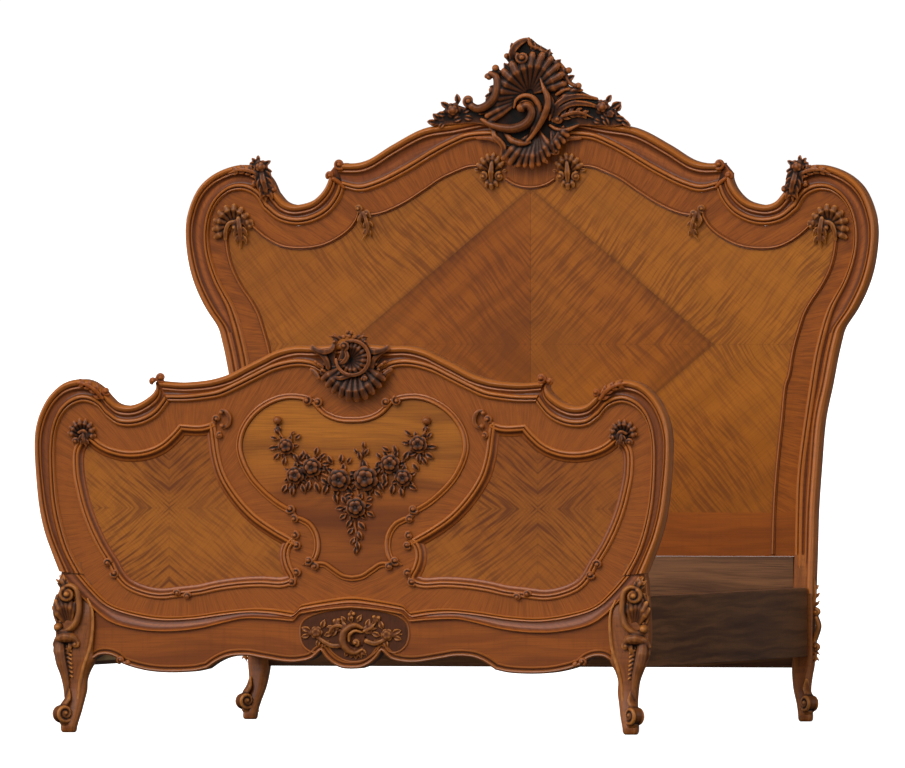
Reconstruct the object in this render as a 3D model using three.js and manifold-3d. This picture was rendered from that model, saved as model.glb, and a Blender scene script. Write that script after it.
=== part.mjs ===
// A carved walnut bed in the rococo manner: tall shaped headboard, lower shaped footboard,
// two side rails hooked onto pins in the posts, bearer strips and loose cross slats.
// Millimetres, +Z up, +X to the right of someone facing the bed from its foot, head end at +Y.
import * as THREE from 'three';
import { mergeVertices } from 'three/addons/utils/BufferGeometryUtils.js';
import Module from 'manifold-3d';

const wasm = await Module();
wasm.setup();

// Driving dimensions.
const headFace = 1008;        // y of the headboard's veneered face
const footFace = -971;        // y of the footboard's veneered face
const fit = 0.3;              // gap between pieces that touch
const frameProud = 22;        // frame mouldings stand this far in front of a face
const headDepth = 32;         // posts and frame reach this far behind the headboard's face
const footDepth = 40;         // posts reach this far behind the footboard's face
const panelThick = 16;        // veneered panels
const beadProud = 10;         // applied beads
const carvingProud = 18;      // small carvings on the panels
const crestProud = 50;        // crests stand this far in front of a face
const toeReach = 69;          // scroll toes reach this far in front of a face
const railInner = 722;        // x of a side rail's inner face
const railThick = 28;
const railBottom = 170;
const railTop = 350;
const ledgerWide = 26;
const ledgerHigh = 30;
const ledgerShort = 20;       // a bearer strip stops this far short of each end of its rail
const slatBottom = 212;       // slats lie at this height on the bearer strips
const slatThick = 22;
const slatWide = 90;
const slatCount = 10;
const slotWide = 11;          // slot in each post that takes the rail's hook plate
const slotDeep = 30;
const slotBottom = 165;
const slotTop = 321;
const hookThick = 6;
const hookBackLength = 90;    // length of hook plate let into the rail
const pinRadius = 4;
const pinHeights = [204, 256];
const pinSetback = 14;        // pins sit this far behind the post's face
const curveStep = 26;         // chord length along curved edges
const blankProud = 80;        // a leg is sawn from a blank this far in front of a face
const headBlankTop = 1100;    // height up to which the side sweep of each leg is cut
const footBlankTop = 500;
const sweepHalf = 900;        // the sweep is cut right across the bed

const walnut = { color: 0x7a4a22, roughness: 0.42 };
const veneer = { color: 0x9a6430, roughness: 0.35 };
const carved = { color: 0x4f2c18, roughness: 0.5 };
const oak = { color: 0x3f2a1c, roughness: 0.7 };
const beech = { color: 0xb08a5c, roughness: 0.75 };
const steel = { color: 0x4a4744, roughness: 0.45, metalness: 1 };

const bed = new THREE.Group();

function add(name, geometry, look) {
  const mesh = new THREE.Mesh(geometry, new THREE.MeshStandardMaterial(look));
  mesh.name = name;
  bed.add(mesh);
}

// A smooth run through hand-chosen [x, z] points.
function run(points, step = curveStep) {
  if (points.length < 3) return points;
  const curve = new THREE.CatmullRomCurve3(
    points.map(([x, z]) => new THREE.Vector3(x, z, 0)), false, 'centripetal');
  const count = Math.max(points.length, Math.round(curve.getLength() / step));
  return curve.getSpacedPoints(count).map((p) => [p.x, p.y]);
}

const mirror = (points) => points.map(([x, z]) => [-x, z]);
const sided = (points, side) => (side > 0 ? points : mirror(points));

// Moves every point of a closed outline inwards by a distance.
function inset(outline, distance) {
  const turn = THREE.ShapeUtils.isClockWise(outline.map(([x, z]) => new THREE.Vector2(x, z))) ? -1 : 1;
  return outline.map(([x, z], i) => {
    const before = outline[(i + outline.length - 1) % outline.length];
    const after = outline[(i + 1) % outline.length];
    const a = new THREE.Vector2(x - before[0], z - before[1]).normalize();
    const b = new THREE.Vector2(after[0] - x, after[1] - z).normalize();
    const normal = new THREE.Vector2(-a.y - b.y, a.x + b.x).multiplyScalar(turn);
    const spread = Math.max(0.4, normal.length() / 2);
    normal.normalize().multiplyScalar(distance / spread);
    return [x + normal.x, z + normal.y];
  });
}

// Drops points that repeat the one before.
function clean(outline) {
  return outline.filter(([x, z], i) => {
    const [px, pz] = outline[(i + outline.length - 1) % outline.length];
    return Math.hypot(x - px, z - pz) > 0.05;
  });
}

// A flat board: an upright outline given its front and back faces.
function board(outline, front, back, holes = []) {
  const shape = new THREE.Shape(clean(outline).map(([x, z]) => new THREE.Vector2(x, z)));
  shape.holes = holes.map((hole) => new THREE.Path(clean(hole).map(([x, z]) => new THREE.Vector2(x, z))));
  const geometry = new THREE.ExtrudeGeometry(shape, { depth: back - front, bevelEnabled: false });
  return geometry.rotateX(Math.PI / 2).translate(0, back, 0);
}

// The same for an outline seen from the side, in [y, z], between two x places.
function sideBoard(outline, low, high) {
  const shape = new THREE.Shape(outline.map(([y, z]) => new THREE.Vector2(y, z)));
  const geometry = new THREE.ExtrudeGeometry(shape, { depth: high - low, bevelEnabled: false });
  return geometry.rotateX(Math.PI / 2).rotateZ(Math.PI / 2).translate(low, 0, 0);
}

// A strip of even width that follows a run.
function strip(points, width, front, back) {
  const path = points.map(([x, z]) => new THREE.Vector2(x, z));
  const edges = [[], []];
  path.forEach((p, i) => {
    const along = path[Math.min(i + 1, path.length - 1)].clone().sub(path[Math.max(i - 1, 0)]).normalize();
    const across = new THREE.Vector2(-along.y, along.x).multiplyScalar(width / 2);
    edges[0].push([p.x + across.x, p.y + across.y]);
    edges[1].unshift([p.x - across.x, p.y - across.y]);
  });
  return board([...edges[0], ...edges[1]], front, back);
}

function block(lowX, lowY, lowZ, highX, highY, highZ) {
  const box = new THREE.BoxGeometry(highX - lowX, highY - lowY, highZ - lowZ);
  return box.translate((lowX + highX) / 2, (lowY + highY) / 2, (lowZ + highZ) / 2);
}

function solid(geometry) {
  const bare = new THREE.BufferGeometry();
  bare.setAttribute('position', geometry.getAttribute('position').clone());
  if (geometry.index) bare.setIndex(geometry.index.clone());
  const merged = mergeVertices(bare, 1e-4);
  return new wasm.Manifold(new wasm.Mesh({
    numProp: 3,
    vertProperties: merged.getAttribute('position').array,
    triVerts: new Uint32Array(merged.index.array),
  }));
}

function geometryOf(manifold) {
  const { numProp, vertProperties, triVerts } = manifold.getMesh();
  const geometry = new THREE.BufferGeometry();
  const positions = new Float32Array(vertProperties.length / numProp * 3);
  for (let i = 0; i < positions.length / 3; i += 1) {
    for (let k = 0; k < 3; k += 1) positions[i * 3 + k] = vertProperties[i * numProp + k];
  }
  geometry.setAttribute('position', new THREE.BufferAttribute(positions, 3));
  geometry.setIndex(new THREE.BufferAttribute(new Uint32Array(triVerts), 1));
  geometry.computeVertexNormals();
  return geometry;
}

const cut = (piece, ...cutters) => geometryOf(
  cutters.reduce((left, cutter) => left.subtract(solid(cutter)), solid(piece)));

// A small carving: an outline cut back wherever it meets the pieces behind it.
function carving(name, outline, front, back, ...behind) {
  add(name, cut(board(outline, front, back), ...behind), carved);
}

// Headboard outlines, right half.
const headTop = run([[0, 1592], [130, 1581], [206, 1567], [286, 1550], [371, 1509], [434, 1471],
  [480, 1461], [503, 1474], [518, 1484], [532, 1472], [533, 1456]]);
const headShoulder = run([[541, 1440], [552, 1430], [548, 1410], [582, 1366], [633, 1352], [672, 1367],
  [684, 1396], [706, 1440], [769, 1456], [863, 1426], [917, 1350], [929, 1270], [909, 1153],
  [878, 1085], [843, 1032], [835, 1013]]);
const headSide = run([[835, 1013], [808, 882], [789, 791], [777, 655], [767, 458], [763, 250],
  [759, 90]], 90);
const headToe = run([[759, 90], [774, 70], [782, 48], [775, 20], [761, 0]], 12);
const headLeg = run([[724, 0], [711, 79], [705, 122]], 40);
const headInnerTop = run([[0, 1528], [130, 1524], [206, 1504], [333, 1433], [410, 1396], [457, 1385],
  [500, 1396]]);
const headInnerShoulder = run([[500, 1396], [543, 1327], [590, 1303], [636, 1297], [683, 1309],
  [722, 1345], [769, 1388], [820, 1378], [859, 1328], [869, 1270], [863, 1221], [839, 1153],
  [800, 1085], [777, 1017]]);
const headInnerSide = run([[777, 1017], [757, 934], [750, 882], [718, 655], [711, 435]], 90);
const bandTop = 545;
const bandBottom = 431;
const bottomRailBottom = 140;
const postInner = 709;
const panelEdge = 712.5;      // the panel's straight edge beside the post, at the band

const shoulderFlower = [[690, 1452], [714, 1472], [732, 1482], [756, 1472], [790, 1460], [830, 1452],
  [800, 1434], [762, 1430], [730, 1400], [704, 1366], [690, 1396], [700, 1426]];
const headKnee = [[755, 161], [783, 190], [783, 270], [777, 300], [772, 340], [770, 376], [755, 376]];

function turnedBack(points) {
  return [...points].reverse();
}

const headFront = headFace - frameProud;
const headBack = headFace + headDepth;
const mitre = fit / 2;

// The cut for one post's hook slot and the two pins that cross it.
function slotCutters(side, face, inward) {
  const x = side * (railInner + railThick / 2);
  const ends = [face - inward, face + inward * slotDeep].sort((a, b) => a - b);
  const slot = block(x - slotWide / 2, ends[0], slotBottom, x + slotWide / 2, ends[1], slotTop);
  return [slot, ...pinHeights.map((height) => pin(side, face + inward * pinSetback, height,
  pinRadius + fit, 60))];
}

function pin(side, y, height, radius, length) {
  const shaft = new THREE.CylinderGeometry(radius, radius, length, 12);
  return shaft.rotateZ(Math.PI / 2).translate(side * (railInner + railThick / 2 - 2), y, height);
}

// Side profile of a leg, in [distance in front of the face, z]: straight above, swept forward to a scroll toe.
function legProfile(top, kneeReach, depth, reach) {
  return [[-depth, top], [-depth, 190], [-depth + 12, 130], [0, 78], [14, 30], [17, 0], [52, 0],
    ...run([[52, 0], [reach - 6, 12], [reach, 40], [reach - 7, 66], [reach - 22, 80]], 12),
    [32, 104], [kneeReach, 160], [kneeReach, top]];
}

const sideProfile = (profile, face) => profile.map(([out, z]) => [face - out, z]);

const panelOutline = inset([
  ...turnedBack(headInnerTop), ...mirror(headInnerTop).slice(1),
  ...mirror(headInnerShoulder).slice(1), ...mirror(headInnerSide).slice(1, -1),
  [-panelEdge, bandTop], [panelEdge, bandTop],
  ...turnedBack(headInnerSide).slice(1, -1), ...turnedBack(headInnerShoulder).slice(0, -1),
], fit);

add('head_panel', board(panelOutline, headFace, headFace + panelThick), veneer);
add('head_lower_band', board([[-panelEdge + 4, bandBottom + fit], [panelEdge - 4, bandBottom + fit],
  [panelEdge - 4, bandTop - fit],
  [-panelEdge + 4, bandTop - fit]], headFace, headFace + panelThick), veneer);
add('head_bottom_rail', block(-postInner + fit, headFace - 4, bottomRailBottom,
  postInner - fit, headFace + 24, bandBottom - fit), oak);
add('head_top_rail', board([...turnedBack(headTop), ...mirror(headTop).slice(1),
  ...turnedBack(mirror(headInnerTop)), ...headInnerTop.slice(1)], headFront, headBack), walnut);

for (const [side, hand] of [[-1, 'left'], [1, 'right']]) {
  const shoulder = inset(sided([...headShoulder, ...turnedBack(headInnerShoulder)], side), mitre);
  const flower = solid(board(sided(shoulderFlower, side), headFront - 16, headBack - 20));
  add(`head_shoulder_${hand}`, geometryOf(solid(board(shoulder, headFront, headBack)).add(flower)), walnut);

  const post = inset(sided([...headSide, ...headToe.slice(1), ...headLeg, [postInner, 138],
    [postInner, 330],
    ...turnedBack(headInnerSide)], side), mitre);
  const profile = sideProfile(legProfile(headBlankTop, frameProud, headDepth, toeReach), headFace);
  const shaped = solid(board(post, headFace - blankProud, headBack))
    .intersect(solid(sideBoard(profile, -sweepHalf, sweepHalf)));
  const knee = solid(board(sided(headKnee, side), headFront - 8, headFace + 12));
  add(`head_post_${hand}`, cut(geometryOf(shaped.add(knee)), ...slotCutters(side, headFront, 1)), walnut);
}

// Footboard outlines, right half.
const footTop = run([[0, 1000], [99, 992], [150, 991], [236, 961], [321, 919], [367, 905], [430, 897],
  [478, 902], [503, 919], [518, 919], [523, 909]]);
const footShoulder = run([[527, 900], [515, 892], [521, 872], [544, 853], [595, 838], [630, 855],
  [652, 890], [700, 906], [760, 894], [795, 864], [833, 790], [836, 734], [823, 573], [789, 457],
  [772, 415]]);
const footInnerTop = run([[0, 905], [102, 931], [167, 933], [207, 922], [298, 878], [344, 858],
  [400, 848], [481, 847]]);
const footInnerShoulder = run([[481, 847], [515, 806], [549, 788], [584, 781], [618, 785], [646, 803],
  [669, 831], [715, 843], [766, 806], [782, 740], [784, 690], [775, 584], [760, 518], [738, 457],
  [709, 407]]);
const footLegOuter = run([[772, 415], [778, 360], [789, 300], [790, 250], [783, 208], [766, 172],
  [755, 136], [757, 96]]);
const footToe = run([[757, 96], [768, 88], [778, 58], [768, 24], [754, 0]], 12);
const footLegInner = run([[728, 0], [716, 43], [707, 82], [701, 118], [691, 160], [676, 184]], 30);
const apronEdge = 679;
const apronTop = [[709, 407], [675, 363], [635, 329], [565, 310], [489, 299], [412, 303], [336, 314],
  [260, 321], [148, 312]];
const apronCrown = run([[134, 330], [80, 340], [19, 350], [0, 351]]);
const apronArch = run([[apronEdge, 186], [663, 196], [633, 197], [603, 178]], 20);
const apronWave = run([[603, 178], [572, 168], [527, 157], [430, 155], [379, 163]]);
const apronRise = run([[379, 163], [352, 182], [322, 195], [276, 197], [231, 190], [170, 181], [104, 188]]);
const apronLobe = run([[78, 211], [60, 186], [32, 168], [0, 165]], 20);
const footKnee = [[713, 262], [702, 330], [724, 366], [760, 376], [785, 340], [785, 280], [783, 200],
  [772, 164], [744, 161], [722, 176], [719, 230]];
const sideScroll = [[330, 806], [338, 824], [360, 822], [370, 800], [378, 774], [354, 768], [336, 790]];
const footFront = footFace - frameProud;
const footBack = footFace + footDepth;
const apronFront = footFace - 10;

add('foot_top_rail', board([...turnedBack(footTop), ...mirror(footTop).slice(1),
  ...turnedBack(mirror(footInnerTop)), ...footInnerTop.slice(1)], footFront, footBack - 4), walnut);

const apronUpper = [...run(apronTop), ...apronCrown];
const apronLower = [...apronArch, ...apronWave.slice(1), ...apronRise.slice(1), ...apronLobe];
const boardOutline = inset([
  ...turnedBack(footInnerTop), ...mirror(footInnerTop).slice(1),
  ...mirror(footInnerShoulder).slice(1), ...mirror(apronUpper).slice(1),
  ...turnedBack(apronUpper).slice(1, -1), ...turnedBack(footInnerShoulder).slice(0, -1),
], fit);

// Sunk panel in each half of the footboard.
const sunkPanel = [
  ...run([[362, 772], [405, 764], [452, 764]]), ...run([[470, 738], [520, 706], [578, 696],
    [645, 710], [700, 748]]),
  ...run([[711, 720], [709, 640], [693, 560], [655, 475], [615, 425]]), ...run([[606, 402],
    [560, 378], [500, 366]]),
  ...run([[400, 378], [300, 396], [180, 396]]), ...run([[186, 420], [192, 455], [176, 494]]),
  ...run([[240, 522], [310, 578], [358, 650], [376, 715], [370, 765]]),
];

const apronOutline = inset([...apronUpper, ...mirror(turnedBack(apronUpper)).slice(1),
  [-apronEdge, 250], ...mirror(apronLower), ...turnedBack(apronLower).slice(1), [apronEdge, 250]], mitre);
const footPostShape = (side) => inset(sided([...footLegOuter, ...footToe.slice(1), ...footLegInner,
  [apronEdge, 250], [675, 363], [709, 407]], side), mitre + 0.1);
// Room that the posts take out of the apron and the board.
const postSpace = [-1, 1].map((side) => board(inset(footPostShape(side), -fit), footFace - 90,
  footFace + 90));
add('foot_apron', cut(board(apronOutline, apronFront, footBack - 4), ...postSpace), walnut);
add('foot_board', cut(board(boardOutline, footFace, footFace + 24,
  [turnedBack(sunkPanel), turnedBack(mirror(sunkPanel))]), ...postSpace), walnut);

const lowerRun = run([[655, 330], [600, 302], [550, 288], [489, 283], [398, 286], [284, 306],
  [208, 306], [140, 303]]);
const crownRun = run([[122, 312], [70, 324], [19, 334], [-19, 334], [-70, 324], [-122, 312]]);
const lowerLine = [...lowerRun, ...crownRun, ...turnedBack(mirror(lowerRun))];
add('foot_lower_moulding', strip(lowerLine, 22, footFront, apronFront - fit), walnut);

for (const [side, hand] of [[-1, 'left'], [1, 'right']]) {
  const shoulder = inset(sided([...footShoulder, ...turnedBack(footInnerShoulder)], side), mitre);
  add(`foot_shoulder_${hand}`, board(shoulder, footFront, footBack - 4), walnut);

  const profile = sideProfile(legProfile(footBlankTop, frameProud, footDepth, toeReach), footFace);
  const shaped = solid(board(footPostShape(side), footFace - blankProud, footBack))
    .intersect(solid(sideBoard(profile, -sweepHalf, sweepHalf)));
  const knee = solid(board(sided(footKnee, side), footFront - 22, footFront + 2));
  add(`foot_post_${hand}`, cut(geometryOf(shaped.add(knee)), ...slotCutters(side, footBack, -1)), walnut);

  add(`foot_sunk_panel_${hand}`, board(inset(sided(sunkPanel, side), fit), footFace + 8, footFace + 20),
    veneer);
  const ring = board(inset(sided(sunkPanel, side), -14), footFace - beadProud, footFace - fit,
    [turnedBack(inset(sided(sunkPanel, side), -2))]);
  const scroll = board(sided(sideScroll, side), footFace - carvingProud, footFace - fit);
  add(`foot_panel_bead_${hand}`, geometryOf(solid(ring).add(solid(scroll))), walnut);
}

const cartoucheLine = run([[0, 802], [50, 808], [88, 838], [139, 857], [190, 854], [262, 812],
  [293, 765], [292, 708], [262, 650], [200, 590], [140, 548], [104, 525], [94, 480], [98, 440],
  [58, 422], [20, 401], [0, 398]]);
const cartouche = [...cartoucheLine, ...turnedBack(mirror(cartoucheLine)).slice(1, -1)];
add('foot_cartouche', board(inset(cartouche, -9), footFace - beadProud, footFace - fit,
  [turnedBack(inset(cartouche, 9))]), walnut);

// Applied beads of the headboard.
const beadFront = headFace - beadProud;
const beadBack = headFace - fit;
add('head_bead_centre', strip(run([[-60, 1416], [-30, 1402], [0, 1398], [30, 1402], [60, 1416]]), 9,
  beadFront, beadBack), walnut);

const sideBead = run([[150, 1456], [206, 1438], [244, 1420], [348, 1354], [403, 1333], [446, 1326],
  [480, 1302], [512, 1271], [558, 1248], [613, 1239], [668, 1244], [714, 1267], [770, 1300],
  [812, 1280], [820, 1246], [808, 1191], [784, 1142], [753, 1097], [722, 1025], [707, 972], [687, 882],
  [664, 670], [652, 548]], 40);
const shell = [[796, 1244], [806, 1280], [836, 1300], [846, 1322], [832, 1346], [800, 1362],
  [766, 1356], [746, 1332], [752, 1312], [780, 1296]];
const leafDrop = [[428, 1344], [446, 1350], [468, 1342], [482, 1320], [470, 1314], [462, 1296],
  [452, 1266], [432, 1262], [440, 1290], [438, 1312], [426, 1326]];
const rosette = [[70, 1452], [86, 1478], [116, 1486], [144, 1474], [138, 1436], [120, 1404],
  [92, 1402], [74, 1424]];
const across = (side, low, high) => [side * low, side * high].sort((a, b) => a - b);

for (const [side, hand] of [[-1, 'left'], [1, 'right']]) {
  const bead = solid(strip(sided(sideBead, side), 9, beadFront, beadBack));
  const leaf = solid(board(sided(leafDrop, side), headFace - carvingProud, beadBack));
  add(`head_bead_${hand}`, geometryOf(bead.add(leaf)), walnut);
  carving(`head_shell_${hand}`, sided(shell, side), headFace - 22, beadFront - fit);
  carving(`head_rosette_${hand}`, sided(rosette, side), headFace - 22, beadFront - fit);
}

// Crest of the headboard: a great shell and scroll, not symmetrical.
const headCrest = [[-273, 1559], [-248, 1590], [-210, 1622], [-155, 1644], [-138, 1625], [-120, 1629],
  [-100, 1655], [-114, 1680], [-100, 1704], [-81, 1717], [-63, 1713], [-55, 1742], [-32, 1782],
  [-6, 1789], [32, 1765], [60, 1740], [85, 1724], [117, 1702], [106, 1684], [144, 1662], [183, 1635],
  [208, 1623], [246, 1612], [280, 1555], [130, 1560], [100, 1500], [55, 1471], [5, 1453], [-56, 1482],
  [-89, 1530], [-130, 1556]];
const crestSeat = board([...turnedBack(headTop), ...mirror(headTop).slice(1), [-540, 1400], [540, 1400]]
  .map(([x, z]) => [x, z + fit]), headFront - fit, headBack + 1);
carving('head_crest', headCrest, headFace - crestProud, headBack - 8, crestSeat);

// Crest, garland and apron carving of the footboard.
const footCrest = [[-101, 996], [-70, 1012], [-30, 1016], [-4, 1032], [20, 1016], [60, 1012],
  [100, 1004], [104, 992], [72, 976], [66, 930], [84, 906], [50, 866], [9, 852], [-40, 862],
  [-76, 900], [-64, 930], [-70, 976]];
const footCrestSeat = board([...turnedBack(footTop), ...mirror(footTop).slice(1), [-530, 800], [530, 800]]
  .map(([x, z]) => [x, z + fit]), footFront - fit, footBack + 1);
carving('foot_crest', footCrest, footFace - crestProud, footBack - 10, footCrestSeat);
const garland = [[-206, 801], [-186, 801], [-150, 766], [-110, 716], [-40, 690], [20, 742], [60, 690],
  [130, 700], [186, 798], [206, 798], [200, 720], [160, 640], [80, 622], [36, 560], [12, 470],
  [-20, 560], [-60, 620], [-150, 632], [-200, 700]];
carving('foot_garland', garland, footFace - 28, footFace - fit);
carving('foot_apron_carving', [[-136, 262], [-96, 286], [-40, 300], [0, 318], [60, 304], [136, 262],
  [110, 240], [60, 226], [12, 200], [-30, 220], [-100, 234]], apronFront - carvingProud,
  apronFront - fit);

const footShell = [[684, 762], [700, 786], [724, 794], [746, 780], [747, 756], [728, 750], [712, 738],
  [700, 752]];

for (const [side, hand] of [[-1, 'left'], [1, 'right']]) {
  carving(`foot_shell_${hand}`, sided(footShell, side), footFace - 22, footFace - beadProud - fit);
}

// Side rails with their bearer strips, hook plates and the steel pins they hook onto.
const railFoot = footBack + fit;
const railHead = headFront - fit;
const railMiddle = railInner + railThick / 2;

// A hook plate in [reach into the post, z]: two claws that drop over the pins.
const nearPin = pinSetback - pinRadius - fit;
const farPin = pinSetback + pinRadius + fit;
const clawReach = 26;
const claw = (height) => [[nearPin, height + pinRadius + fit], [farPin, height + pinRadius + fit],
  [farPin, height - 14], [clawReach, height - 10], [clawReach, height + 16]];
const plateOutline = [[-hookBackLength, pinHeights[0] - 16],
  [nearPin, pinHeights[0] - 16], ...claw(pinHeights[0]),
  [nearPin, pinHeights[0] + 28], ...claw(pinHeights[1]), [nearPin, pinHeights[1] + 32],
  [-hookBackLength, pinHeights[1] + 32]];

for (const [side, hand] of [[-1, 'left'], [1, 'right']]) {
  const middle = side * railMiddle;
  const sawCuts = [];
  for (const [end, face, inward] of [['foot', footBack, -1], ['head', headFront, 1]]) {
    const outline = plateOutline.map(([reach, z]) => [face + inward * reach, z]);
    add(`hook_plate_${end}_${hand}`, sideBoard(outline, middle - hookThick / 2, middle + hookThick / 2),
      steel);
    pinHeights.forEach((height, i) => add(`${end}_pin_${hand}_${['lower', 'upper'][i]}`,
      pin(side, face + inward * pinSetback, height, pinRadius, 44), steel));
    const ends = [face - inward * (hookBackLength + fit), face + inward].sort((a, b) => a - b);
    sawCuts.push(block(middle - hookThick / 2 - fit, ends[0], plateOutline[0][1] - fit,
      middle + hookThick / 2 + fit, ends[1], pinHeights[1] + 32 + fit));
  }
  const [railLow, railHigh] = across(side, railInner, railInner + railThick);
  add(`rail_${hand}`, cut(block(railLow, railFoot, railBottom, railHigh, railHead, railTop),
    ...sawCuts), walnut);
  const [ledgerLeft, ledgerRight] = across(side, railInner - fit - ledgerWide, railInner - fit);
  add(`ledger_${hand}`, block(ledgerLeft, railFoot + ledgerShort, slatBottom - fit - ledgerHigh,
    ledgerRight, railHead - ledgerShort, slatBottom - fit), beech);
}

// Loose cross slats.
const slatPitch = (railHead - railFoot) / slatCount;
for (let i = 0; i < slatCount; i += 1) {
  const middle = railFoot + slatPitch * (i + 0.5);
  add(`slat_${String(i + 1).padStart(2, '0')}`, block(2 - railInner, middle - slatWide / 2, slatBottom,
    railInner - 2, middle + slatWide / 2, slatBottom + slatThick), beech);
}

export default bed;
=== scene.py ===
import math

import bpy
import bmesh
import numpy as np
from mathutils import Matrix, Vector
from mathutils.geometry import tessellate_polygon


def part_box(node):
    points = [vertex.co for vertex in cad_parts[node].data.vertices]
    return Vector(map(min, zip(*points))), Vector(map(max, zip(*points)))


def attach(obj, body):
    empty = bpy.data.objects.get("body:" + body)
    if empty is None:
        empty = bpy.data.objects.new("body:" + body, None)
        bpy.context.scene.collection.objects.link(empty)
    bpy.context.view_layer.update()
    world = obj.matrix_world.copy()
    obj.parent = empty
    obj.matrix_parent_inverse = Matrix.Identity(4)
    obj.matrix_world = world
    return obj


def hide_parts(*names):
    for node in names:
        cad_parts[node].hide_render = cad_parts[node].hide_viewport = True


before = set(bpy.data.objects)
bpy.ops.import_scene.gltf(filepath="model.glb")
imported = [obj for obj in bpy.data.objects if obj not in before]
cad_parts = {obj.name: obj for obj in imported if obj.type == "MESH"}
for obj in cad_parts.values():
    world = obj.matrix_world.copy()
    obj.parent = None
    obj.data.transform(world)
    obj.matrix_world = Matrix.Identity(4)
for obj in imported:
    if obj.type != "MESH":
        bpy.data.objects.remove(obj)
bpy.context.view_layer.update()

# y of the two veneered faces, from the frame, in mm
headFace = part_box("head_panel")[0].y * 1000
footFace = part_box("foot_board")[0].y * 1000
bed = "bedstead"
hands = ((-1, "left"), (1, "right"))


def smoothRun(points, step=6.0):
    # an evenly spaced curve through given points
    p = np.array(points, float)
    if len(p) < 3:
        count = max(2, int(np.linalg.norm(p[-1] - p[0]) / step) + 1)
        return p[0] + (p[-1] - p[0]) * np.linspace(0, 1, count)[:, None]
    p = np.vstack([2 * p[0] - p[1], p, 2 * p[-1] - p[-2]])
    knots = np.concatenate([[0], np.cumsum(np.sqrt(np.linalg.norm(np.diff(p, axis=0), axis=1)) + 1e-6)])
    out = []
    for i in range(1, len(p) - 2):
        a, b, c, d = p[i - 1:i + 3]
        ka, kb, kc, kd = knots[i - 1:i + 3]
        t = np.linspace(kb, kc, max(4, int(np.linalg.norm(c - b) / 2)))[:, None]
        ab = (kb - t) / (kb - ka) * a + (t - ka) / (kb - ka) * b
        bc = (kc - t) / (kc - kb) * b + (t - kb) / (kc - kb) * c
        cd = (kd - t) / (kd - kc) * c + (t - kc) / (kd - kc) * d
        left = (kc - t) / (kc - ka) * ab + (t - ka) / (kc - ka) * bc
        right = (kd - t) / (kd - kb) * bc + (t - kb) / (kd - kb) * cd
        out.append((kc - t) / (kc - kb) * left + (t - kb) / (kc - kb) * right)
    return evenly(np.vstack(out), step)


def evenly(points, step=None, count=None):
    lengths = np.concatenate([[0], np.cumsum(np.linalg.norm(np.diff(points, axis=0), axis=1))])
    count = count or max(2, int(round(lengths[-1] / step)) + 1)
    at = np.linspace(0, lengths[-1], count)
    return np.stack([np.interp(at, lengths, points[:, k]) for k in range(points.shape[1])], 1)


def joined(*runs):
    # several runs end to end, keeping their corners
    touching = 0.5  # mm
    out = [np.array(runs[0], float)]
    for r in runs[1:]:
        r = np.array(r, float)
        out.append(r[1:] if np.linalg.norm(r[0] - out[-1][-1]) < touching else r)
    return np.vstack(out)


def toward(x, z, length, degrees):
    # the point at a distance from another, in a direction
    angle = math.radians(degrees)
    return [x + length * math.cos(angle), z + length * math.sin(angle)]


def arc(x, z, radius, first, last, step):
    # points round a circle, from one angle to another in degrees
    return [toward(x, z, radius, a) for a in range(first, last, step)]


def sided(points, side):
    return np.array(points, float) * np.array([side, 1.0])


def whole(half):
    # a right-hand half that starts on the centre line, with its mirror image
    half = np.array(half, float)
    return np.vstack([sided(half, -1)[::-1], half[1:]])


def offsetBy(path, distance, closed=False):
    # moves a path sideways, to its left for a positive distance, with mitred corners
    mitreLimit, tiny = 0.45, 1e-9
    p = np.array(path, float)
    if closed:
        before, after = np.roll(p, 1, 0), np.roll(p, -1, 0)
    else:
        before = np.vstack([2 * p[0] - p[1], p[:-1]])
        after = np.vstack([p[1:], 2 * p[-1] - p[-2]])
    a = p - before
    b = after - p
    a /= np.linalg.norm(a, axis=1)[:, None] + tiny
    b /= np.linalg.norm(b, axis=1)[:, None] + tiny
    na = np.stack([-a[:, 1], a[:, 0]], 1)
    nb = np.stack([-b[:, 1], b[:, 0]], 1)
    n = na + nb
    size = np.linalg.norm(n, axis=1)[:, None]
    n = n / (size + tiny) / np.maximum(size / 2, mitreLimit)
    return p + n * distance


def tubeFaces(rings, sides, start=0):
    # the four-sided faces between rings of points, one ring after another
    faces = []
    for i in range(rings - 1):
        low, high = start + i * sides, start + (i + 1) * sides
        for s in range(sides):
            after = (s + 1) % sides
            faces.append((low + s, low + after, high + after, high + s))
    return faces


def capFaces(rings, sides):
    return [tuple(range(sides)), tuple((rings - 1) * sides + s for s in range(sides))]


def addMarks(mesh, marks):
    for key, values in marks.items():
        mesh.attributes.new(key, "FLOAT", "POINT").data.foreach_set("value", np.array(values, np.float32))


def settle(piece, replaces, body):
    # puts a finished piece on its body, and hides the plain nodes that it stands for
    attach(piece, body)
    if replaces:
        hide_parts(*replaces)
    return piece


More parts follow.
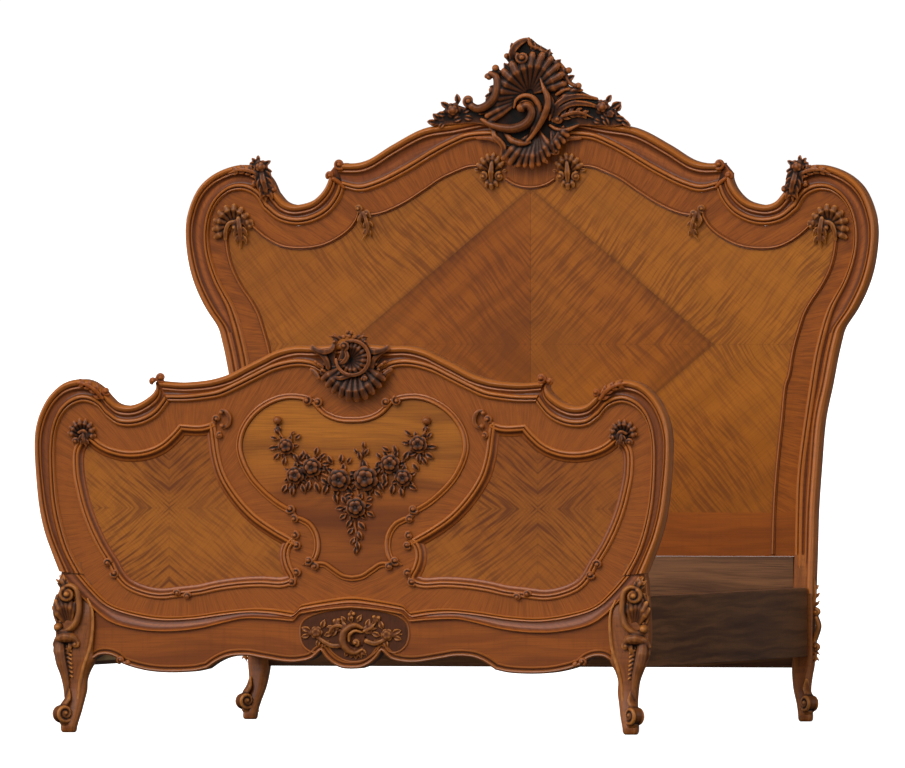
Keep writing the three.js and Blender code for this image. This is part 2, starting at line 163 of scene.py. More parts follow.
def makePiece(name, vertices, faces, finish, slot, replaces=(), body=bed, sharp=40, grain=None,
              marks=None):
    mesh = bpy.data.meshes.new(name)
    corners = [tuple(v) for v in np.array(vertices) / 1000]
    mesh.from_pydata(corners, [], [tuple(int(i) for i in f) for f in faces])
    if grain is not None:
        layer = mesh.uv_layers.new(name="grain")
        loops = np.zeros(len(mesh.loops), int)
        mesh.loops.foreach_get("vertex_index", loops)
        layer.data.foreach_set("uv", (np.array(grain)[loops] / 1000).astype(np.float32).ravel())
    addMarks(mesh, marks or {})
    work = bmesh.new()
    work.from_mesh(mesh)
    bmesh.ops.recalc_face_normals(work, faces=work.faces)
    work.to_mesh(mesh)
    work.free()
    mesh.shade_smooth()
    mesh.set_sharp_from_angle(angle=math.radians(sharp))
    piece = bpy.data.objects.new(name, mesh)
    bpy.context.scene.collection.objects.link(piece)
    mesh.materials.append(finish)
    return settle(piece, replaces, body)


def hollowOf(across, heights):
    # how far each point of a section lies below its neighbourhood, in mm; the finishes paint shade into the
    # hollows and highlights onto the ridges from it
    reach, most = 4.5, 3
    spread = np.exp(-((across[:, None] - across[None, :]) / reach) ** 2)
    level = spread @ heights / spread.sum(1)
    return np.clip(level - heights, -most, most)


def moulding(name, outer, inner, section, face, finish, slot, closed=False, **more):
    # section points are [share of the width, mm to add, height]
    # the outer and inner edges run side by side
    backLevel = -4
    outer, inner = np.array(outer, float), np.array(inner, float)
    count = len(outer)
    section = np.array(section, float)
    rows = len(section)
    width = np.linalg.norm(inner - outer, axis=1)
    towards = (inner - outer) / (width[:, None] + 1e-9)
    across = section[None, :, 0] * width[:, None] + section[None, :, 1]
    places = outer[:, None, :] + towards[:, None, :] * across[:, :, None]
    vertices = np.zeros((count, rows, 3))
    vertices[:, :, 0], vertices[:, :, 2] = places[:, :, 0], places[:, :, 1]
    vertices[:, :, 1] = face - section[None, :, 2]
    middle = (outer + inner) / 2
    along = np.concatenate([[0], np.cumsum(np.linalg.norm(np.diff(middle, axis=0), axis=1))])
    grain = np.stack([np.repeat(along, rows), across.ravel()], 1)
    mean = float(width.mean())
    # this hollow mark drives the painted shade in the grooves and the painted highlight on the ridges
    hollow = hollowOf(section[:, 0] * mean + section[:, 1], section[:, 2])
    hollow[section[:, 2] < backLevel] = 0
    faces = []
    for i in range(count if closed else count - 1):
        j = (i + 1) % count
        for k in range(rows):
            m = (k + 1) % rows
            faces.append((i * rows + k, i * rows + m, j * rows + m, j * rows + k))
    if not closed:
        faces += [tuple(range(rows)), tuple((count - 1) * rows + k for k in range(rows))]
    return makePiece(name, vertices.reshape(-1, 3), faces, finish, slot, grain=grain,
                     marks={"hollow": np.tile(hollow, count)}, **more)


def bead(name, path, wide, section, face, finish, slot, closed=False, **more):
    # an even moulding along one line; section heights run from edge to edge
    left, right = offsetBy(path, wide / 2, closed), offsetBy(path, -wide / 2, closed)
    return moulding(name, left, right, section, face, finish, slot, closed, **more)


def slab(name, outline, front, back, finish, slot, holes=(), **more):
    # a flat board with an outline and holes
    loops = [np.array(outline, float)] + [np.array(h, float) for h in holes]
    flat = np.vstack(loops)
    count = len(flat)
    triangles = tessellate_polygon([[Vector((x, z, 0)) for x, z in loop] for loop in loops])
    vertices = np.vstack([np.column_stack([flat[:, 0], np.full(count, y), flat[:, 1]])
                          for y in (front, back)])
    faces = [tuple(t) for t in triangles] + [tuple(i + count for i in reversed(t)) for t in triangles]
    start = 0
    for loop in loops:
        n = len(loop)
        faces += [(start + i, start + (i + 1) % n, start + (i + 1) % n + count, start + i + count)
                  for i in range(n)]
        start += n
    return makePiece(name, vertices, faces, finish, slot, sharp=30, **more)


def plank(name, low, high, finish, slot, soften=1.5, **more):
    # a planed board with softened arrises, corners in mm
    work = bmesh.new()
    bmesh.ops.create_cube(work, size=1)
    for v in work.verts:
        v.co = [(low[k] + high[k]) / 2 + v.co[k] * (high[k] - low[k]) for k in range(3)]
    bmesh.ops.bevel(work, geom=work.edges[:], offset=soften, segments=3, affect="EDGES", profile=0.5)
    vertices = [v.co[:] for v in work.verts]
    faces = [[v.index for v in f.verts] for f in work.faces]
    work.verts.ensure_lookup_table()
    longest = int(np.argmax(np.array(high) - np.array(low)))
    others = [k for k in range(3) if k != longest]
    grain = [(v[longest], v[others[0]] + v[others[1]]) for v in vertices]
    piece = makePiece(name, vertices, faces, finish, slot, sharp=35, grain=grain, **more)
    work.free()
    return piece


def spreadOver(shares, values):
    # evenly placed values, read off at shares of the way
    values = np.atleast_1d(values)
    return np.interp(shares, np.linspace(0, 1, len(values)), values)


class Carving:
    # strokes of a gouge, fused into one surface
    def __init__(self, face, side=1):
        self.face, self.side = face, side
        self.vertices, self.faces = [], []
        self.turned = None
        self.ways = {"stroke": self.stroke, "ball": self.ball, "plate": self.plate, "volute": self.volute,
                     "leaf": self.leaf, "simpleLeaf": self.simpleLeaf, "rose": self.rose, "fan": self.fan}

    def follow(self, work):
        # carries out a list of cuts: each names its way, then gives what that way takes
        for way, *given in work:
            options = given.pop() if isinstance(given[-1], dict) else {}
            self.ways[way](*given, **options)

    def put(self, vertices, faces):
        # turned holds (x, height, degrees): strokes then swing about that upright line
        start = len(self.vertices)
        if self.turned:
            px, ph, degrees = self.turned
            c, s = math.cos(math.radians(degrees)), math.sin(math.radians(degrees))
            vertices = [(px + (x - px) * c - (h - ph) * s, ph + (x - px) * s + (h - ph) * c, z)
                        for x, h, z in vertices]
        self.vertices += [(self.side * x, self.face - h, z) for x, h, z in vertices]
        self.faces += [[start + i for i in f] for f in faces]

    def stroke(self, points, radius, height, deep=1.0, groove=0.0, sides=10, step=3.0):
        # a tapering rope of wood along a curve; groove sinks a line along its top
        line = smoothRun(points, step)
        count = len(line)
        t = np.linspace(0, 1, count)
        radius, height = spreadOver(t, radius), spreadOver(t, height)
        along = np.gradient(line, axis=0)
        along /= np.linalg.norm(along, axis=1)[:, None] + 1e-9
        normal = np.stack([-along[:, 1], along[:, 0]], 1)
        rings = []
        # rounded ends: [place, shift along the curve, scale], in radii
        stations = [(0, -0.98, 0.05), (0, -0.8, 0.6)] + [(i, 0, 1) for i in range(count)]
        stations += [(count - 1, 0.8, 0.6), (count - 1, 0.98, 0.05)]
        for i, shift, scale in stations:
            r = radius[i]
            for s in range(sides):
                angle = 2 * math.pi * s / sides
                reach = r * scale
                up = math.sin(angle) * reach * deep
                if groove and math.sin(angle) > 0.5:
                    up -= groove * r * scale * (1 - abs(math.cos(angle)) * 1.6)
                x, z = line[i] + normal[i] * math.cos(angle) * reach + along[i] * shift * r
                rings.append((x, height[i] + up, z))
        first, last = capFaces(len(stations), sides)
        self.put(rings, tubeFaces(len(stations), sides) + [first[::-1], last])

    def ball(self, x, z, radius, height, deep=1.0, long=1.0, turn=0.0):
        rows, sides = 7, 12
        vertices = [(x, height - radius * deep, z)]
        c, s = math.cos(turn), math.sin(turn)
        for i in range(1, rows):
            up = -math.cos(math.pi * i / rows)
            out = math.sin(math.pi * i / rows)
            for k in range(sides):
                a = 2 * math.pi * k / sides
                u, v = math.cos(a) * out * radius * long, math.sin(a) * out * radius
                vertices.append((x + u * c - v * s, height + up * radius * deep, z + u * s + v * c))
        vertices.append((x, height + radius * deep, z))
        faces = [[0, 1 + (k + 1) % sides, 1 + k] for k in range(sides)]
        faces += tubeFaces(rows - 1, sides, 1)
        last = 1 + (rows - 2) * sides
        faces += [[last + k, last + (k + 1) % sides, len(vertices) - 1] for k in range(sides)]
        self.put(vertices, faces)

    def plate(self, outline, low, high):
        # a backing that ties the strokes together
        outline = np.array(outline, float)
        n = len(outline)
        triangles = tessellate_polygon([[Vector((x, z, 0)) for x, z in outline]])
        vertices = [(x, low, z) for x, z in outline] + [(x, high, z) for x, z in outline]
        faces = [list(t) for t in triangles] + [[i + n for i in reversed(t)] for t in triangles]
        faces += [[i, (i + 1) % n, (i + 1) % n + n, i + n] for i in range(n)]
        self.put(vertices, faces)

    def volute(self, x, z, outer, height, turns=1.4, start=0.0, spin=1, rope=None, eye=True, deep=1.0):
        # a spiral that winds in to an eye
        rope = rope or outer * 0.24
        t = np.linspace(0, 1, 26)
        reach = (outer - rope) * (1 - t * 0.78)
        angle = math.radians(start) + spin * t * turns * 2 * math.pi
        points = np.stack([x + np.cos(angle) * reach, z + np.sin(angle) * reach], 1)
        self.stroke(points, [rope, rope * 0.95, rope * 0.6], [height, height + rope * 0.5], deep,
                    step=outer * 0.12)
        if eye:
            self.ball(x, z, outer * 0.34, height + rope * 0.95, deep)

    def leaf(self, points, wide, height, fingers=3):
        # an acanthus leaf: a fleshy spine with overlapping lobes that sweep forward from it
        line = smoothRun(points, 2.0)
        along = np.gradient(line, axis=0)
        along /= np.linalg.norm(along, axis=1)[:, None] + 1e-9
        heights = np.atleast_1d(height)
        for f in range(fingers):
            t = (f + 0.2) / (fingers + 0.5)
            i = int(t * (len(line) - 1))
            size = wide * (0.56 - 0.22 * t)
            h = float(spreadOver(t, heights))
            for hand in (-1, 1):
                n = np.array([-along[i, 1], along[i, 0]]) * hand
                bend = line[i] + n * size * 0.65 + along[i] * size * 0.45
                tip = line[i] + n * size * 0.95 + along[i] * size * 1.15
                self.stroke([line[i], bend, tip], [wide * 0.18, wide * 0.22, wide * 0.16, wide * 0.08],
                            [h - 1, h + 0.5, h - 1.5], 0.55, 0.4)
        self.stroke(points, [wide * 0.16, wide * 0.2, wide * 0.15, wide * 0.07], heights + 1.5, 0.9, 0.45)

    def simpleLeaf(self, x, z, size, angle, height):
        # a small pointed leaf with a sunk vein
        a = math.radians(angle)
        way = np.array([math.cos(a), math.sin(a)])
        base = np.array([x, z])
        radii = [size * 0.12, size * 0.36, size * 0.3, size * 0.07]
        self.stroke([base, base + way * size * 0.5, base + way * size], radii,
                    [height, height + 2, height], deep=0.6, groove=0.6, sides=8, step=2.0)

    def rose(self, x, z, radius, height, turn=0.0):
        # open flower: a ring of outer petals, a raised ring within, and a sunk heart
        rings = [(6, 0.72, 0.40, 0.10), (5, 0.44, 0.30, 0.38)]  # petals, place, size, lift
        for ring, (count, out, size, lift) in enumerate(rings):
            for k in range(count):
                a = turn + ring * 0.5 + 2 * math.pi * k / count
                px, pz = x + math.cos(a) * out * radius, z + math.sin(a) * out * radius
                self.ball(px, pz, size * radius, height + lift * radius, 0.45, 1.25, a + math.pi / 2)
        self.ball(x, z, radius * 0.17, height + radius * 0.30)

    def fan(self, x, z, tips, height, start=0.12, arch=8.0, full=0.52):
        # shell ribs that widen from a centre to given tips, side by side
        centre = np.array([x, z], float)
        tips = np.array(tips, float)
        gaps = np.linalg.norm(np.diff(tips, axis=0), axis=1)
        gaps = np.concatenate([gaps[:1], (gaps[:-1] + gaps[1:]) / 2, gaps[-1:]])
        for k, (tip, gap) in enumerate(zip(tips, gaps)):
            wide, lift = gap * full, (0, 1.5, -1)[k % 3]
            way = tip - centre
            points = [centre + way * share for share in (start, 0.45, 0.82, 1.02)]
            heights = [height - 2, height + arch * 0.3, height + arch * 0.8 + lift,
                       height + arch * 0.65 + lift]
            self.stroke(points, [wide * start, wide * 0.52, wide * 0.95, wide * 0.72], heights, 0.8)

    def fuse(self, name, fineness, finish, soften=2, replaces=()):
        # one skin over all the strokes, eased a little, with its hollows marked, then thinned
        easing, keptShare, hollowRounds = 0.55, 0.4, (5, 16)
        mesh = bpy.data.meshes.new(name)
        mesh.from_pydata([tuple(c / 1000 for c in v) for v in self.vertices], [], self.faces)
        rough = bpy.data.objects.new(name + "_rough", mesh)
        bpy.context.scene.collection.objects.link(rough)
        skin = rough.modifiers.new("skin", "REMESH")
        skin.mode = "VOXEL"
        skin.voxel_size = fineness / 1000
        shapes = bpy.context.evaluated_depsgraph_get()
        made = bpy.data.meshes.new_from_object(rough.evaluated_get(shapes))
        bpy.data.objects.remove(rough)
        count = len(made.vertices)
        co = np.zeros(count * 3, np.float32)
        made.vertices.foreach_get("co", co)
        co = co.reshape(-1, 3).astype(float)
        edges = np.zeros(len(made.edges) * 2, int)
        made.edges.foreach_get("vertices", edges)
        a, b = edges[::2], edges[1::2]
        both, other = np.concatenate([a, b]), np.concatenate([b, a])
        degree = np.maximum(np.bincount(both, minlength=count), 1)

        def average(values):
            # the mean of each point's neighbours
            sums = [np.bincount(both, values[other, k], count) for k in range(values.shape[1])]
            return np.stack([total / degree for total in sums], 1)

        for _ in range(soften):
            co = co + easing * (average(co) - co)
        made.vertices.foreach_set("co", co.astype(np.float32).ravel())
        made.update()
        normals = np.zeros(count * 3, np.float32)
        made.vertices.foreach_get("normal", normals)
        normals = normals.reshape(-1, 3)
        # the hollow mark: how far each point lies below its eased surroundings; the finishes paint shade
        # into hollows and highlights onto raised parts from it
        hollow = np.zeros(count)
        level = co.copy()
        for rounds in hollowRounds:
            for _ in range(rounds):
                level = average(level)
            hollow += np.einsum("ij,ij->i", level - co, normals) * 1000
        addMarks(made, {"hollow": hollow})
        made.shade_smooth()
        made.materials.clear()
        made.materials.append(finish)
        piece = bpy.data.objects.new(name, made)
        bpy.context.scene.collection.objects.link(piece)
        less = piece.modifiers.new("less", "DECIMATE")
        less.ratio = keptShare
        shapes = bpy.context.evaluated_depsgraph_get()
        lean = bpy.data.meshes.new_from_object(piece.evaluated_get(shapes), preserve_all_data_layers=True,
                                               depsgraph=shapes)
        piece.modifiers.clear()
        piece.data = lean
        return settle(piece, replaces, bed)


def carve(plan, face, side=1, hand=""):
    # cuts one carving as its plan says
    c = Carving(face, side)
    if "toe" in plan:
        toe(c, *plan["toe"])
    c.follow(plan["work"])
    replaces = [plan["replaces"] + hand] if "replaces" in plan else ()
    c.fuse(plan["name"] + hand, plan["fineness"], finishes[plan["finish"]], plan["soften"],
           replaces)


class Value:
    # a number that varies over a surface, with plain arithmetic
    def __init__(self, finish, socket):
        self.finish, self.socket = finish, socket

    def math(self, operation, *others):
        return self.finish.node("ShaderNodeMath", {"operation": operation}, [self, *others])

    def __add__(self, other):
        return self.math("ADD", other)

    def __mul__(self, other):
        return self.math("MULTIPLY", other)

    def __sub__(self, other):
        return self.math("SUBTRACT", other)

    def __truediv__(self, other):
        return self.math("DIVIDE", other)

    def __pow__(self, other):
        return self.math("POWER", other)

    def __rsub__(self, other):
        return self.finish.node("ShaderNodeMath", {"operation": "SUBTRACT"}, [other, self])

    __radd__, __rmul__ = __add__, __mul__

    def size(self):
        return self.math("ABSOLUTE")

    def between(self, low, high, start=0.0, end=1.0):
        # eases from start to end as the value goes from low to high
        return self.finish.node("ShaderNodeMapRange", {"interpolation_type": "SMOOTHSTEP"},
                                [self, low, high, start, end])


class Finish:
    def __init__(self, name, shader="Principled BSDF", kind=bpy.data.materials):
        self.material = kind.new(name)
        self.material.use_nodes = True
        self.tree = self.material.node_tree
        self.shader = self.tree.nodes[shader]

    def node(self, kind, settings=None, inputs=(), output=0):
        made = self.tree.nodes.new(kind)
        for key, value in (settings or {}).items():
            if key == "stops":
                while len(made.color_ramp.elements) < len(value):
                    made.color_ramp.elements.new(0.5)
                for element, (place, color) in zip(made.color_ramp.elements, value):
                    element.position, element.color = place, (*color, 1)
            else:
                setattr(made, key, value)
        for key, value in (inputs.items() if isinstance(inputs, dict) else enumerate(inputs)):
            if isinstance(value, Value):
                self.tree.links.new(value.socket, made.inputs[key])
            else:
                made.inputs[key].default_value = value
        return Value(self, made.outputs[output])

    def place(self):
        # where a point lies on the bed, in metres, as three values
        where = self.node("ShaderNodeTexCoord", output=3)
        split = self.node("ShaderNodeSeparateXYZ", inputs=[where])
        outputs = split.socket.node.outputs
        return Value(self, outputs[0]), Value(self, outputs[1]), Value(self, outputs[2])

    def grain(self):
        # distance along and across the wood of a moulding or plank, in metres
        split = self.node("ShaderNodeSeparateXYZ", inputs=[self.node("ShaderNodeUVMap",
                                                                     {"uv_map": "grain"})])
        outputs = split.socket.node.outputs
        return Value(self, outputs[0]), Value(self, outputs[1])

    def mark(self, name):
        return self.node("ShaderNodeAttribute", {"attribute_name": name}, output=2)

    def at(self, x, y, z):
        return self.node("ShaderNodeCombineXYZ", inputs=[x, y, z])

    def noise(self, where, scale=1.0, detail=3.0, roughness=0.55, distortion=0.0):
        return self.node("ShaderNodeTexNoise", inputs={"Vector": where, "Scale": scale, "Detail": detail,
                                                       "Roughness": roughness, "Distortion": distortion})

    def mix(self, share, a, b, way="MIX"):
        made = self.tree.nodes.new("ShaderNodeMix")
        made.data_type, made.blend_type = "RGBA", way
        for key, value in ((0, share), (6, a), (7, b)):
            if isinstance(value, Value):
                self.tree.links.new(value.socket, made.inputs[key])
            elif key == 0:
                made.inputs[key].default_value = value
            else:
                made.inputs[key].default_value = (*value, 1)
        return Value(self, made.outputs[2])

    def bump(self, height, strength, distance):
        return self.node("ShaderNodeBump", inputs={"Height": height, "Strength": strength,
                                                   "Distance": distance})

    def polish(self, color, roughness, coat=0.0, coatRoughness=0.12, normal=None, metallic=0.0,
               specular=0.15):
        for key, value in (("Base Color", color), ("Roughness", roughness), ("Coat Weight", coat),
                           ("Normal", normal), ("Metallic", metallic), ("Coat Roughness", coatRoughness),
                           ("Specular IOR Level", specular)):
            if isinstance(value, Value):
                self.tree.links.new(value.socket, self.shader.inputs[key])
            elif value is not None:
                self.shader.inputs[key].default_value = (*value, 1) if key == "Base Color" else value
        return self.material


def tone(r, g, b):
    # a colour as it looks on screen, 0 to 255, made linear
    return tuple((c / 255 / 12.92) if c <= 10 else ((c / 255 + 0.055) / 1.055) ** 2.4 for c in (r, g, b))


tones = {
    "veneerGold": tone(160, 86, 26), "veneerMid": tone(143, 73, 22), "veneerDark": tone(98, 46, 14),
    "veneerYellow": tone(192, 118, 36), "seam": tone(54, 26, 11), "mouldingLight": tone(168, 90, 32),
    "mouldingMid": tone(134, 66, 22), "mouldingDark": tone(84, 40, 14),
    "mouldingPaintedHighlight": tone(204, 122, 48), "fieldMid": tone(92, 46, 18), "groove": tone(18, 9, 5),
    "legGold": tone(164, 96, 38), "legMid": tone(128, 68, 25), "kneePaintedHighlight": tone(198, 124, 56),
    "kneeMid": tone(110, 60, 26), "kneeDeep": tone(34, 18, 9), "carvedPaintedHighlight": tone(164, 92, 42),
    "carvedMid": tone(74, 38, 18), "carvedDeep": tone(9, 6, 4), "oakMid": tone(122, 80, 48),
    "oakDark": tone(76, 46, 26), "beechLight": tone(206, 172, 128), "beechMid": tone(182, 142, 98),
    "steel": tone(88, 84, 80), "rust": tone(74, 48, 34),
}


def pores(f, along, across, dense=520.0):
    # short dark pores of walnut, stretched along the wood
    dots = f.noise(f.at(along * 55, across * dense, 0.0), 1.0, 2.0, 0.6)
    return dots.between(0.60, 0.74)


veneerPolish = {"coat": 0.25, "coatRoughness": 0.2, "grainDepth": 0.12}

# how close the marks of the matched leaves lie, along the wood and across it, per metre
matchedFigure = {"band": (0.9, 13), "hair": (7.0, 260), "ripple": (150, 11), "fineRipple": (300, 24)}


def quarteredVeneer(name, centres, slopes, seamAt=None, banded=1.0, rippled=0.5):
    # four matched leaves: broad bands lie along the diamond's edges, fine ripple runs across them
    f = Finish(name)
    x, _, z = f.place()
    centreX, centreZ = centres
    p = x.size() - centreX
    q = z - centreZ
    p, q = (p.size() if centreX else p), q.size()
    size = math.hypot(*slopes)
    nx, nz = slopes[0] / size, slopes[1] / size
    away = p * nx + q * nz
    along = q * nx - p * nz
    outside = away.between(seamAt - 0.0006, seamAt + 0.0006) if seamAt else Value(f, away.socket) * 0
    leaf = outside * 3.7
    wander = f.noise(f.at(x * 2.2, z * 2.2, 0.3), 1.0, 2.0) - 0.5
    by, over = matchedFigure["band"]
    bands = f.noise(f.at(along * by + leaf, away * over + wander * 1.6, 1.7), 1.0, 3.0, 0.55)
    by, over = matchedFigure["hair"]
    hair = f.noise(f.at(along * by, away * over + wander * 9, 4.1), 1.0, 3.0, 0.6)
    by, over = matchedFigure["ripple"]
    ripple = f.noise(f.at(along * by + wander * 14, away * over + leaf, 2.2), 1.0, 1.5, 0.5)
    by, over = matchedFigure["fineRipple"]
    fineRipple = f.noise(f.at(along * by + wander * 16, away * over, 6.2), 1.0, 2.0, 0.6)
    cloud = f.noise(f.at(x * 3.1, z * 3.1, 8.8), 1.0, 2.0)
    strength = f.noise(f.at(x * 4.2, z * 4.2, 3.3), 1.0, 1.0).between(0.30, 0.66, 0.45, 1.0)
    base = f.mix(bands.between(0.33, 0.66, 0.5 - 0.5 * banded, 0.5 + 0.5 * banded), tones["veneerDark"],
                 tones["veneerGold"])
    base = f.mix(cloud.between(0.35, 0.75, 0.25, 0.6), base, tones["veneerMid"])
    light = f.noise(f.at(x * 1.7, z * 2.3, 5.5), 1.0, 1.0).between(0.35, 0.7, 0.15, 0.55)
    if seamAt:
        light = light * 0.4 + outside * (x.between(-0.1, 0.7, 0.28, 0.55)
                                         * z.between(0.45, 1.05, 0.35, 1.0))
        light = light + (1 - outside) * x.between(-0.0005, 0.0005, 0.0, 0.16)
    base = f.mix(light, base, tones["veneerYellow"])
    base = f.mix(hair.between(0.42, 0.72, 0.0, 0.22), base, tones["veneerDark"])
    base = f.mix(ripple.between(0.42, 0.66) * strength * rippled, base, tones["veneerDark"])
    base = f.mix(fineRipple.between(0.45, 0.75) * strength * (rippled * 0.5), base, tones["veneerDark"])
    if seamAt:
        shade = (away - seamAt).size().between(0.0, 0.014, 0.30, 0.0)
        seam = shade + (away - seamAt).size().between(0, 0.0014, 0.2, 0)
        base = f.mix(seam, base, tones["seam"])
        joint = x.size().between(0.0004, 0.0014, 0.35, 0.0) + q.between(0.0004, 0.0014, 0.15, 0.0)
        base = f.mix(joint, base, tones["seam"])
    else:
        joint = p.between(0.0004, 0.0012, 0.15, 0.0) + q.between(0.0004, 0.0012, 0.15, 0.0)
        base = f.mix(joint, base, tones["seam"])
    relief = ripple * 0.6 + hair * 0.4
    return f.polish(base, ripple.between(0.3, 0.7, 0.30, 0.42), veneerPolish["coat"],
                    veneerPolish["coatRoughness"], f.bump(relief, veneerPolish["grainDepth"], 0.0006))


def plainVeneer(name, light=0.5, figured=0.5, glowAt=None):
    # one leaf with level straight grain; glowAt gives the heights between which it turns lighter
    f = Finish(name)
    x, _, z = f.place()
    wander = f.noise(f.at(x * 1.6, z * 4.0, 0.7), 1.0, 2.0) - 0.5
    bands = f.noise(f.at(x * 1.3, z * 16 + wander * 3.6, 5.0), 1.0, 3.0, 0.6)
    hair = f.noise(f.at(x * 8.0, z * 260 + wander * 12, 1.0), 1.0, 3.0, 0.6)
    ripple = f.noise(f.at(x * 90, z * 10, 2.0), 1.0, 2.0)
    base = f.mix(bands.between(0.32, 0.68), tones["veneerDark"], tones["veneerGold"])
    base = f.mix(light, base, tones["veneerMid"])
    if glowAt:
        base = f.mix(z.between(*glowAt, 0.0, 0.7) * bands.between(0.25, 0.6, 0.45, 1.0), base,
                     tones["veneerYellow"])
    base = f.mix(hair.between(0.4, 0.7, 0.0, 0.35), base, tones["veneerDark"])
    base = f.mix(ripple.between(0.5, 0.7) * (0.5 * figured), base, tones["veneerDark"])
    return f.polish(base, hair.between(0.3, 0.7, 0.32, 0.44), veneerPolish["coat"],
                    veneerPolish["coatRoughness"], f.bump(hair, veneerPolish["grainDepth"], 0.0005))


def crossbandVeneer(name, centre, goldToneAndHighlight=0.5):
    # short grain that runs out from the middle of the board to its edges
    f = Finish(name)
    x, _, z = f.place()
    p = x.size() - centre[0]
    q = z - centre[1]
    turn = q.math("ARCTAN2", p)
    reach = (p * p + q * q) ** 0.5
    wander = f.noise(f.at(x * 5, z * 5, 0.7), 1.0, 2.0) - 0.5
    stripes = f.noise(f.at(turn * 46 + wander * 3, reach * 7, 5.0), 1.0, 3.0, 0.6)
    fine = f.noise(f.at(turn * 190 + wander * 8, reach * 18, 1.0), 1.0, 2.0, 0.6)
    curl = f.noise(f.at(turn * 10, reach * 60, 8.0), 1.0, 2.0, 0.6)
    cloud = f.noise(f.at(x * 3.5, z * 3.5, 4.0), 1.0, 2.0)
    base = f.mix(stripes.between(0.34, 0.66, 0.0, 0.62), tones["veneerGold"], tones["veneerDark"])
    base = f.mix(cloud.between(0.3, 0.7, goldToneAndHighlight * 0.5, goldToneAndHighlight), base, tones["veneerGold"])
    base = f.mix(fine.between(0.42, 0.7, 0.0, 0.5), base, tones["veneerDark"])
    base = f.mix(curl.between(0.5, 0.7, 0.0, 0.25), base, tones["mouldingMid"])
    return f.polish(base, fine.between(0.3, 0.7, 0.32, 0.44), veneerPolish["coat"],
                    veneerPolish["coatRoughness"], f.bump(fine, veneerPolish["grainDepth"], 0.0005))


def mouldingWood(name, light="mouldingLight", mid="mouldingMid", dark="mouldingDark", grimeAndShade=1.0, goldToneAndHighlight=0.42,
                 gloss=0.3):
    # polished solid walnut that follows the run of the moulding, with a painted golden highlight on its
    # ridges, and grooves darkened partly by wax and partly as painted shade
    f = Finish(name)
    along, across = f.grain()
    hollow = f.mark("hollow")
    wander = f.noise(f.at(along * 3, across * 20, 0.2), 1.0, 2.0) - 0.5
    bands = f.noise(f.at(along * 1.8, across * 60 + wander * 2, 3.0), 1.0, 3.0, 0.6)
    hair = f.noise(f.at(along * 14, across * 900 + wander * 8, 1.0), 1.0, 3.0, 0.6)
    ripple = f.noise(f.at(along * 120, across * 30, 7.0), 1.0, 2.0, 0.5)
    base = f.mix(bands.between(0.32, 0.68), tones[mid], tones[light])
    base = f.mix(hair.between(0.42, 0.7, 0.0, 0.45), base, tones[dark])
    base = f.mix(ripple.between(0.45, 0.7, 0.0, 0.3), base, tones[dark])
    base = f.mix(pores(f, along, across) * 0.5, base, tones["groove"])
    # painted highlight: ridges, where the hollow mark is below zero, turn golden
    base = f.mix(hollow.between(-1.3, -0.15, goldToneAndHighlight, 0.0), base, tones["mouldingPaintedHighlight"])
    # grooves darken towards near black, partly as wax and dirt, partly as painted shade
    waxAndShadeBlotch = f.noise(f.at(along * 30, across * 60, 9.0), 1.0, 3.0).between(0.25, 0.75, 0.75, 1.0)
    base = f.mix(hollow.between(0.3, 1.2) * waxAndShadeBlotch * (0.8 * grimeAndShade), base, tones["mouldingDark"])
    base = f.mix(hollow.between(0.9, 2.6) * waxAndShadeBlotch * (0.8 * grimeAndShade), base, tones["groove"])
    return f.polish(base, hollow.between(-1.0, 1.0, 0.3, 0.7), gloss, 0.16, f.bump(hair, 0.15, 0.0005),
                    specular=0.2)


def carvedWood(name, high="carvedPaintedHighlight", mid="carvedMid", deep="carvedDeep", spread=1.0):
    # dark waxed carving: painted highlights on the raised tops, and hollows darkened to near black, partly
    # as dirt and wax, partly as painted shade
    f = Finish(name)
    x, y, z = f.place()
    hollow = f.mark("hollow")
    mottle = f.noise(f.at(x * 40, y * 40, z * 40), 1.0, 4.0, 0.6)
    hair = f.noise(f.at(x * 260, y * 260, z * 40), 1.0, 3.0, 0.6)
    level = hollow * spread + (mottle - 0.5) * 0.7
    # painted highlight: raised parts, where the hollow mark is below zero, turn towards the high colour
    base = f.mix(level.between(-2.2, -0.3, 1.0, 0.0), tones[mid], tones[high])
    base = f.mix(hair.between(0.45, 0.75, 0.0, 0.35), base, tones["carvedDeep"])
    # hollows darken to the deep colour, partly as dirt and wax, partly as painted shade
    base = f.mix(level.between(-0.45, 0.9, 0.0, 0.98), base, tones[deep])
    return f.polish(base, level.between(-1.5, 0.8, 0.3, 0.7), 0.1, 0.2, f.bump(hair, 0.2, 0.0006),
                    specular=0.16)


def oakWood(name):
    f = Finish(name)
    x, _, z = f.place()
    wander = f.noise(f.at(x * 1.2, z * 6.0, 0.4), 1.0, 2.0) - 0.5
    bands = f.noise(f.at(x * 1.4, z * 34 + wander * 5, 2.0), 1.0, 4.0, 0.65)
    hair = f.noise(f.at(x * 7.0, z * 420, 7.0), 1.0, 3.0, 0.6)
    base = f.mix(bands.between(0.3, 0.7), tones["oakDark"], tones["oakMid"])
    base = f.mix(hair.between(0.5, 0.72, 0.0, 0.6), base, tones["groove"])
    return f.polish(base, 0.55, 0.0, 0.3, f.bump(hair, 0.35, 0.0008), specular=0.2)


